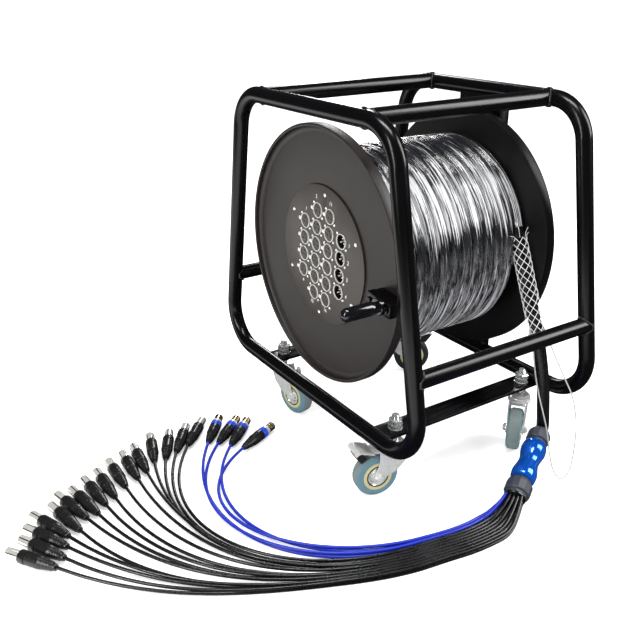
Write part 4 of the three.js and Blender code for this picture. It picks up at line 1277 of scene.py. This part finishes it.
# Noise per metre across, round and out from the axle
streak_scale = (420.0, 1.6, 420.0)
drift_scale = (60.0, 0.9, 60.0)
crease_scale = (230.0, 6.5, 230.0)
streak_edges = (0.74, 0.36)
streak_contrast = 9.0
fold_range = (0.46, 0.68)
cable_black = (0.006, 0.0065, 0.009, 1)
# The white painted into the film for its highlights and reflections
painted_highlight_white = (0.62, 0.62, 0.64, 1)
film_gloss = (0.3, 0.14)
film_height = 0.003
film_strength = 0.8


def wrapped_film():
    """The look of black cable under clear film, with white highlights and reflections painted in streaks
    along the turns and in the creases, by the angle round the drum.
    """
    made = bpy.data.materials.new("film_over_cable")
    made.use_nodes = True
    tree = made.node_tree
    where = node(tree, "ShaderNodeTexCoord").outputs["Object"]
    x, y, z = node(tree, "ShaderNodeSeparateXYZ", {0: where}).outputs
    depth = calc(tree, "SUBTRACT", z, axle.z)
    angle = calc(tree, "ARCTAN2", depth, calc(tree, "MULTIPLY", y, -1.0))
    out = node(tree, "ShaderNodeCombineXYZ", {0: y, 1: depth})
    lane = calc(tree, "MULTIPLY_ADD", angle, turn_pitch / (2 * math.pi), x)
    turn = node(tree, "ShaderNodeCombineXYZ", {
        0: lane, 1: angle, 2: vector(tree, "LENGTH", out).outputs["Value"]})

    def noise(scale, detail, distortion=0.0):
        """Noise in the winding's own directions."""
        return node(tree, "ShaderNodeTexNoise", {
            "Vector": vector(tree, "MULTIPLY", turn, scale), "Scale": 1.0, "Detail": detail,
            "Roughness": 0.6, "Distortion": distortion})

    streaks = noise(streak_scale, 3.0)
    creases = noise(crease_scale, 3.0, 0.4)
    swing = calc(tree, "SUBTRACT", noise(drift_scale, 2.0), noise_middle)
    place = calc(tree, "MULTIPLY_ADD", swing, zone_drift, angle)
    zone_ends = (math.radians(zone_start), math.radians(zone_start + zone_length))
    zones = node(tree, "ShaderNodeValToRGB", {"Fac": ranged(tree, place, zone_ends)})
    stops = zones.color_ramp.elements
    for degrees, highlight_cover, dapple in highlight_and_crease_zones:
        stops.new((degrees - zone_start) / zone_length).color = (highlight_cover, dapple, 0, 1)
    stops.remove(stops[0])
    stops.remove(stops[-1])
    highlight_cover, crumple = node(tree, "ShaderNodeSeparateColor", {0: zones}).outputs[:2]
    above = calc(tree, "SUBTRACT", streaks, ranged(tree, highlight_cover, (0.0, 1.0), streak_edges))
    painted_streak_highlights = calc(tree, "MULTIPLY", above, streak_contrast, use_clamp=True)
    painted_crease_glints = calc(tree, "MULTIPLY", ranged(tree, creases, fold_range), crumple)
    # The film's tone: painted white highlights over the black cable, from the streaks and the crease glints
    tone = node(tree, "ShaderNodeMix", {
        "Factor": calc(tree, "MAXIMUM", painted_streak_highlights, painted_crease_glints), 6: cable_black, 7: painted_highlight_white}, data_type="RGBA")
    height = calc(tree, "MULTIPLY_ADD", streaks, film_strength, calc(tree, "MULTIPLY", creases, crumple))
    bump = node(tree, "ShaderNodeBump", {
        "Height": height, "Strength": film_strength, "Distance": film_height})
    fill(tree, tree.nodes["Principled BSDF"], {
        "Specular IOR Level": 1.0, "Coat Weight": 1.0, "Coat Roughness": 0.1, "Base Color": tone.outputs[2],
        "Roughness": ranged(tree, streaks, (0.3, 0.7), film_gloss), "Normal": bump, "Coat Normal": bump})
    return made


def film_wrapped_tube():
    """Geometry tree: a tube along a curve, pressed squarish, whose skin is ruffled like loose film."""
    tree, given, out = new_tree("film_wrapped_tube", [
        ("Radius", number, 0.01), ("Axle", "NodeSocketVector", (0, 0, 0.3)), ("Sides", "NodeSocketInt", 20),
        ("Ruffle", number, 0.0006), ("Ruffles per metre", number, 90.0), ("Seed", number, 3.0)])
    profile = node(tree, "GeometryNodeCurvePrimitiveCircle", {
        "Resolution": given["Sides"], "Radius": given["Radius"]})
    here = node(tree, "GeometryNodeInputPosition")
    size = vector(tree, "ABSOLUTE", vector(tree, "NORMALIZE", here))
    cube = vector(tree, "MULTIPLY", vector(tree, "MULTIPLY", size, size), size)
    total = vector(tree, "DOT_PRODUCT", cube, (1, 1, 1)).outputs["Value"]
    pulled = vector(tree, "SCALE", here, calc(tree, "POWER", total, -1 / 3))
    flatter = node(tree, "GeometryNodeSetPosition", {"Geometry": profile, "Position": pulled})
    across = vector(tree, "MULTIPLY", vector(tree, "SUBTRACT", here, given["Axle"]), (0, 1, 1))
    facing = node(tree, "GeometryNodeSetCurveNormal", {
        "Curve": given["Geometry"], "Normal": across}, mode="FREE")
    tube = node(tree, "GeometryNodeCurveToMesh", {
        "Curve": facing, "Profile Curve": flatter, "Fill Caps": True})
    noise = node(tree, "ShaderNodeTexNoise", {
        "W": given["Seed"], "Scale": given["Ruffles per metre"], "Detail": 2.0}, noise_dimensions="4D")
    push = calc(tree, "MULTIPLY", calc(tree, "SUBTRACT", noise, noise_middle), given["Ruffle"])
    shift = vector(tree, "SCALE", node(tree, "GeometryNodeInputNormal"), push)
    ruffled = node(tree, "GeometryNodeSetPosition", {"Geometry": tube, "Offset": shift})
    smooth = node(tree, "GeometryNodeSetShadeSmooth", {"Geometry": ruffled})
    return end_tree(tree, given, out, smooth)


def winding_point(turn):
    """A point on the winding's helix, straight past its two ends."""
    wound = min(max(turn, 0), winding_turns)
    angle = math.pi - leave_angle - (winding_turns - wound) * 2 * math.pi
    x = first_turn_x + (last_turn_x - first_turn_x) * wound / winding_turns
    point = at(x, wound_radius * math.cos(angle), axle.z + wound_radius * math.sin(angle))
    tangent = Vector((0, -math.sin(angle), math.cos(angle)))
    return point + tangent * (turn - wound) * 2 * math.pi * wound_radius


straight_share = 2 * trunk_radius / (2 * math.pi * wound_radius)
turn_stations = [i / winding_steps for i in range(int(winding_turns * winding_steps) + 1)]
turn_stations = [-straight_share, *turn_stations, winding_turns + straight_share]
winding_base = drawn_line("winding_line", [winding_point(turn) for turn in turn_stations])
winding = grown("film_wrapped_winding", winding_base, film_wrapped_tube(), {
    "Radius": film_radius, "Axle": axle, "Sides": film_sides, "Ruffle": film_ruffle,
    "Ruffles per metre": film_ruffles, "Seed": film_seed, "Finish": wrapped_film()})
settle(winding, "drum", "film_wrapped_cable", "cable_winding")


# Crank
# A block welded to the left flange carries a pin, and a loose black handle with a domed end turns on it.
# Two painted bolts hold the head of the block.
grip_black = finish("grip_black", (0.004, 0.004, 0.005), 0.12, coat=0.3, patches=50, depth=0.03)

crank_radius = 0.181
crank_face = 0.174
# The block's foot and head: two corners and the rounding of the edges
bracket_blocks = [(*mm([(147.5, 152, -11), (160, 193, 11)]), 0.0012),
                  (*mm([(160, 150, -11), (174, 203, 11)]), 0.0016)]
crank_pin = mm([(-4, 0), (-4, 4), (46, 4), (46, 0)])
crank_bolts = (0.157, 0.196)
crank_bolt_profile = mm([(0, 0), (0, 4.2), (0.6, 4.5), (2.2, 4.5), (2.8, 4), (2.8, 0)])
grip_length = 0.064
grip_radius = 0.010
dome_steps = 10
grip_neck = mm([
    (0.3, 4.3), (0.3, 11.7), (1.1, 12.5), (5.5, 12.5), (6.3, 11.7), (6.8, 8), (9.5, 8), (12.5, 9.3),
    (18, 10)])
grip_bore = mm([(46.5, 0), (46.5, 4.3), (0.3, 4.3)])

crank_flip = drum @ quarter_turns(2, "Z")
crank_start = crank_flip @ Matrix.Translation((crank_face, crank_radius, 0))
bracket_parts = [(block(low, high, crank_flip, edge), black_paint) for low, high, edge in bracket_blocks]
bracket_parts.append((turned(crank_pin, crank_start, 24), bright_steel))
for y in crank_bolts:
    bolt = crank_flip @ Matrix.Translation((crank_face, y, 0))
    bracket_parts.append((turned(crank_bolt_profile, bolt, 6), black_paint))
piece("painted_bracket", bracket_parts, "drum", "black_paint", "crank_bracket")

grip_dome = []
for i in range(dome_steps):
    a = math.pi / 2 * i / dome_steps
    grip_dome.append((grip_length - grip_radius + grip_radius * math.sin(a), grip_radius * math.cos(a)))
grip_profile = [*grip_neck, *grip_dome, (grip_length + seat, 0), *grip_bore]
piece("moulded_grip", [(turned(grip_profile, crank_start, 48), grip_black)],
      "crank", "black_paint", "crank_grip")


# Casters
# Four zinc-plated swivel casters stand on threaded stems through the bars. The tyres are blue-grey rubber
# with a cream core ring and a bright hub. On the right rear wheel the tyre and tread are nearly black,
# which is painted shade. Two casters have a foot brake that presses a block on the tyre.
zinc = finish("zinc_plate", (0.96, 0.97, 0.95), 0.2, metallic=0.6, drift=0.5, rough_drift=0.3, patches=160,
              grain=1500, depth=0.1)
bright_nut = finish("bright_nut", (0.93, 0.95, 0.93), 0.16, metallic=0.85, drift=0.5, rough_drift=0.3,
                    patches=160, depth=0.1)
tyre_rubber = finish("tyre_rubber", (0.10, 0.195, 0.24), 0.5, drift=0.35, patches=70, grain=900, depth=0.25)
tyre_tread = finish("tyre_tread", (0.16, 0.2, 0.195), 0.6, drift=0.4, patches=90, grain=800, depth=0.35)
cream_ring = finish("cream_ring", (0.46, 0.42, 0.22), 0.5, drift=0.2, patches=90)
# A nearly black copy of the tyre colour: painted shade for the right rear wheel
painted_shade_tyre = finish("painted_shade_tyre", (0.012, 0.02, 0.022), 0.5, drift=0.35, patches=70, grain=900, depth=0.25)
hub_black = finish("hub_black", (0.01, 0.01, 0.01), 0.45)
block_rubber = finish("block_rubber", (0.012, 0.011, 0.01), 0.6, grain=600, depth=0.5)

# Hexagon nuts: shares of height and radius, with the corners turned off
hexagon_shares = [(0, 0), (0, 0.88), (0.14, 1), (0.86, 1), (1, 0.88), (1, 0)]
stem_foot = 0.074
stem_radius = 0.006
thread_end = 0.130
thread_pitch = 0.00175
thread_crest = 0.0008
thread_depth = 0.0007
stem_tip = mm([(131, 5.6), (132, 4.6), (132, 0)])
race_profile = mm([(80.3, 0), (80.3, 18.5), (83, 17.8), (83.5, 15.5), (86.3, 14.5), (86.3, 0)])
race_edge = 0.0004
washer_profile = mm([(108.3, 0), (108.3, 11.5), (109.8, 11.5), (109.8, 0)])
washer_edge = 0.0003
# Foot, height and turn in degrees of the nuts below and above the bar
stem_nuts = [(0.0937, 0.009, 0), (0.1098, 0.0078, 0), (0.1176, 0.0064, 20)]
nut_radius = 0.010 / math.cos(math.pi / 6)

wheel_radius = 0.035
wheel_trail = 0.032
fork_inside = 0.0122
fork_plate = 0.0025
fork_outside = fork_inside + fork_plate
fork_head = mm([(71, 0), (71, 17.1), (74, 19), (78, 19), (80, 16), (80, 0)])
fork_head_edge = 0.001
fork_yoke = mm([(-16.5, -14.7, 69), (16.5, 14.7, 72.5)])
yoke_edge = 0.0012
cheek_edge = 0.0009
pedal_pivot = (0.024, 0.0765)


def arc_points(centre, radius, start, end, steps):
    """Points on an arc from one angle in degrees to another."""
    angles = [math.radians(start + (end - start) * i / steps) for i in range(steps + 1)]
    return [(centre[0] + radius * math.cos(a), centre[1] + radius * math.sin(a)) for a in angles]


# The cheek runs from the head round the wheel's bolt and, where there is a pedal, round its pin
cheek_outline = [
    *mm([(-16.5, 73), (-15.5, 66), (-10, 53), (4, 40)]),
    *arc_points((wheel_trail, wheel_radius), 0.0098, 200, 385, 12),
    *mm([(33.5, 47), (30.5, 58), (30, 66)]), *arc_points(pedal_pivot, 0.0062, 0, 110, 6),
    *mm([(17.5, 75), (16.5, 73)])]
axle_nut = (0.0042, 0.0062)
axle_radius = 0.004
axle_tip = mm([(4, 0), (4, 3.6), (6, 3.3), (6.3, 0)])
pivot_radius = 0.0024
pivot_reach = 0.0157

# Half profiles of the wheel's rings, from the left face to the middle, as the other half mirrors them
tyre_half = mm([(-11, 23.2), (-11.2, 26.4), (-10.8, 30.5), (-9.8, 32.8), (-7.8, 34.4)])
tyre_inside = mm([(7, 23.2), (-7, 23.2)])
tread_ring = mm([(-8, 34.2), (-6.5, 34.9), (0, 35), (6.5, 34.9), (8, 34.2), (8, 31), (-8, 31)])
cream_half = mm([(-11.2, 17.8), (-11.5, 20.2), (-11.2, 23.3)])
disc_half = mm([(-11.4, 4.3), (-11.6, 6.2), (-9.5, 8.4), (-9, 14), (-11.3, 16.2)])
seal_half = mm([(-11.6, 16), (-11.6, 17.9)])

treadle_outline = mm([
    (40, 79.7), (52, 84), (64, 87.5), (68.5, 85.5), (71, 82.5), (70.6, 80.1), (68.1, 83.1), (63.6, 85.1),
    (51.6, 81.6), (39.6, 77.3)])
treadle_width = 0.036
treadle_edge = 0.0009
tongue_outline = mm([(21, 80.7), (40, 79.7), (52, 84), (51.6, 81.6), (39.6, 77.3), (28, 75.5)])
tongue_edge = 0.0006
knuckle_radius = 0.005
pad_lean = math.radians(36)
pad_gap = 0.0025
pad_corners = mm([(-6, -9, -9.8), (6, 9, 9.8)])
pad_edge = 0.001


def standing(profile, place, sides=32):
    """A turned shape whose profile runs up Z."""
    return turned(profile, place @ quarter_turns(-1, "Y"), sides)


def stem_parts(place):
    """Threaded stem, ball race, washer and three nuts."""
    thread = [(stem_foot, 0), (stem_foot, stem_radius)]
    for i in range(int((thread_end - stem_foot) / thread_pitch)):
        z = stem_foot + thread_pitch * (i + 0.5)
        thread += [(z, stem_radius), (z + thread_crest, stem_radius - thread_depth)]
    parts = [(standing([*thread, *stem_tip], place, 24), bright_nut),
             (standing(rounded(race_profile, race_edge), place, 40), zinc),
             (standing(rounded(washer_profile, washer_edge), place, 32), bright_nut)]
    for low, height, degrees in stem_nuts:
        turned_nut = place @ Matrix.Rotation(math.radians(degrees), 4, "Z")
        parts.append((standing(shaped(hexagon_shares, low, height, nut_radius), turned_nut, 6), bright_nut))
    return parts


def fork_parts(place, braked):
    """Pressed fork with a domed head, two cheeks and the wheel's bolt."""
    parts = [(standing(rounded(fork_head, fork_head_edge), place, 48), zinc)]
    for side in (-1, 1):
        cheek = place @ Matrix.Translation((0, side * (fork_inside + fork_plate / 2), 0))
        cheek = cheek @ quarter_turns(1, "X")
        face = place @ Matrix.Translation((wheel_trail, side * fork_outside, wheel_radius))
        face = face @ quarter_turns(side, "Z")
        parts += [(plate(cheek_outline, fork_plate, cheek, cheek_edge, 3), zinc),
                  (turned(shaped(hexagon_shares, 0, *axle_nut), face, 6), zinc),
                  (turned(axle_tip, face, 16), zinc)]
    parts.append((block(*fork_yoke, place, yoke_edge), zinc))
    bolt = place @ Matrix.Translation((wheel_trail, 0, wheel_radius)) @ quarter_turns(1, "Z")
    parts.append((turned(bar(-fork_outside, fork_outside, axle_radius), bolt, 16), zinc))
    if braked:
        pin = place @ Matrix.Translation((pedal_pivot[0], 0, pedal_pivot[1])) @ quarter_turns(1, "Z")
        parts.append((turned(bar(-pivot_reach, pivot_reach, pivot_radius), pin, 16), zinc))
    return parts


def mirrored(half, inside=()):
    """A closed ring profile from its left half and the points that join its two ends."""
    return [*half, *((-x, radius) for x, radius in reversed(half)), *inside, half[0]]


def wheel_parts(place, rubber, tread_rubber):
    """Tyre, tread, cream core ring, hub disc and bearing ring, all turned about the wheel's axle."""
    hub = place @ Matrix.Translation((wheel_trail, 0, wheel_radius)) @ quarter_turns(1, "Z")
    rings = [(mirrored(tyre_half, tyre_inside), 72, rubber),
             ([*tread_ring, tread_ring[0]], 72, tread_rubber),
             (mirrored(cream_half), 64, cream_ring), (mirrored(disc_half), 56, zinc),
             (mirrored(seal_half), 56, hub_black)]
    return [(turned(profile, hub, sides), look) for profile, sides, look in rings]


def pedal_parts(place):
    """Pressed treadle with a turned-down toe, its knuckle and the friction block."""
    inside = fork_inside - seat
    stand = place @ quarter_turns(1, "X")
    pivot = place @ Matrix.Translation((pedal_pivot[0], 0, pedal_pivot[1])) @ quarter_turns(1, "Z")
    away = wheel_radius + pad_gap + pad_corners[1][2]
    centre = (wheel_trail + away * math.sin(pad_lean), 0, wheel_radius + away * math.cos(pad_lean))
    pad = place @ Matrix.Translation(centre) @ Matrix.Rotation(pad_lean, 4, "Y")
    return [(plate(tongue_outline, inside * 2, stand, tongue_edge), zinc),
            (plate(treadle_outline, treadle_width, stand, treadle_edge), zinc),
            (turned(bar(-inside, inside, knuckle_radius), pivot, 24), zinc),
            (block(*pad_corners, pad, pad_edge), block_rubber)]


joints = {joint["name"]: joint for joint in frame["joints"]}
for corner in ("front_left", "front_right", "rear_left", "rear_right"):
    swivel = joints[f"swivel_{corner}"]["pos_m"]
    low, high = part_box(f"wheel_{corner}")
    wheel = (low + high) / 2
    heading = math.atan2(wheel.y - swivel[1], wheel.x - swivel[0])
    upright_place = Matrix.Translation((swivel[0], swivel[1], 0))
    place = upright_place @ Matrix.Rotation(heading, 4, "Z")
    braked = f"brake_pedal_{corner}" in frame["nodes"]
    # The right rear wheel gets the nearly black tyre, as painted shade
    rubbers = (painted_shade_tyre, painted_shade_tyre) if corner == "rear_right" else (tyre_rubber, tyre_tread)
    piece(f"plated_stem_{corner}", stem_parts(upright_place), "frame", "zinc_plate", f"caster_stem_{corner}")
    piece(f"plated_fork_{corner}", fork_parts(place, braked), f"swivel_{corner}", "zinc_plate",
          f"caster_fork_{corner}")
    piece(f"rubber_wheel_{corner}", wheel_parts(place, *rubbers), f"wheel_{corner}", "blue_grey_tyre",
          f"wheel_{corner}")
    if braked:
        piece(f"plated_pedal_{corner}", pedal_parts(place), f"pedal_{corner}", "zinc_plate",
              f"brake_pedal_{corner}")
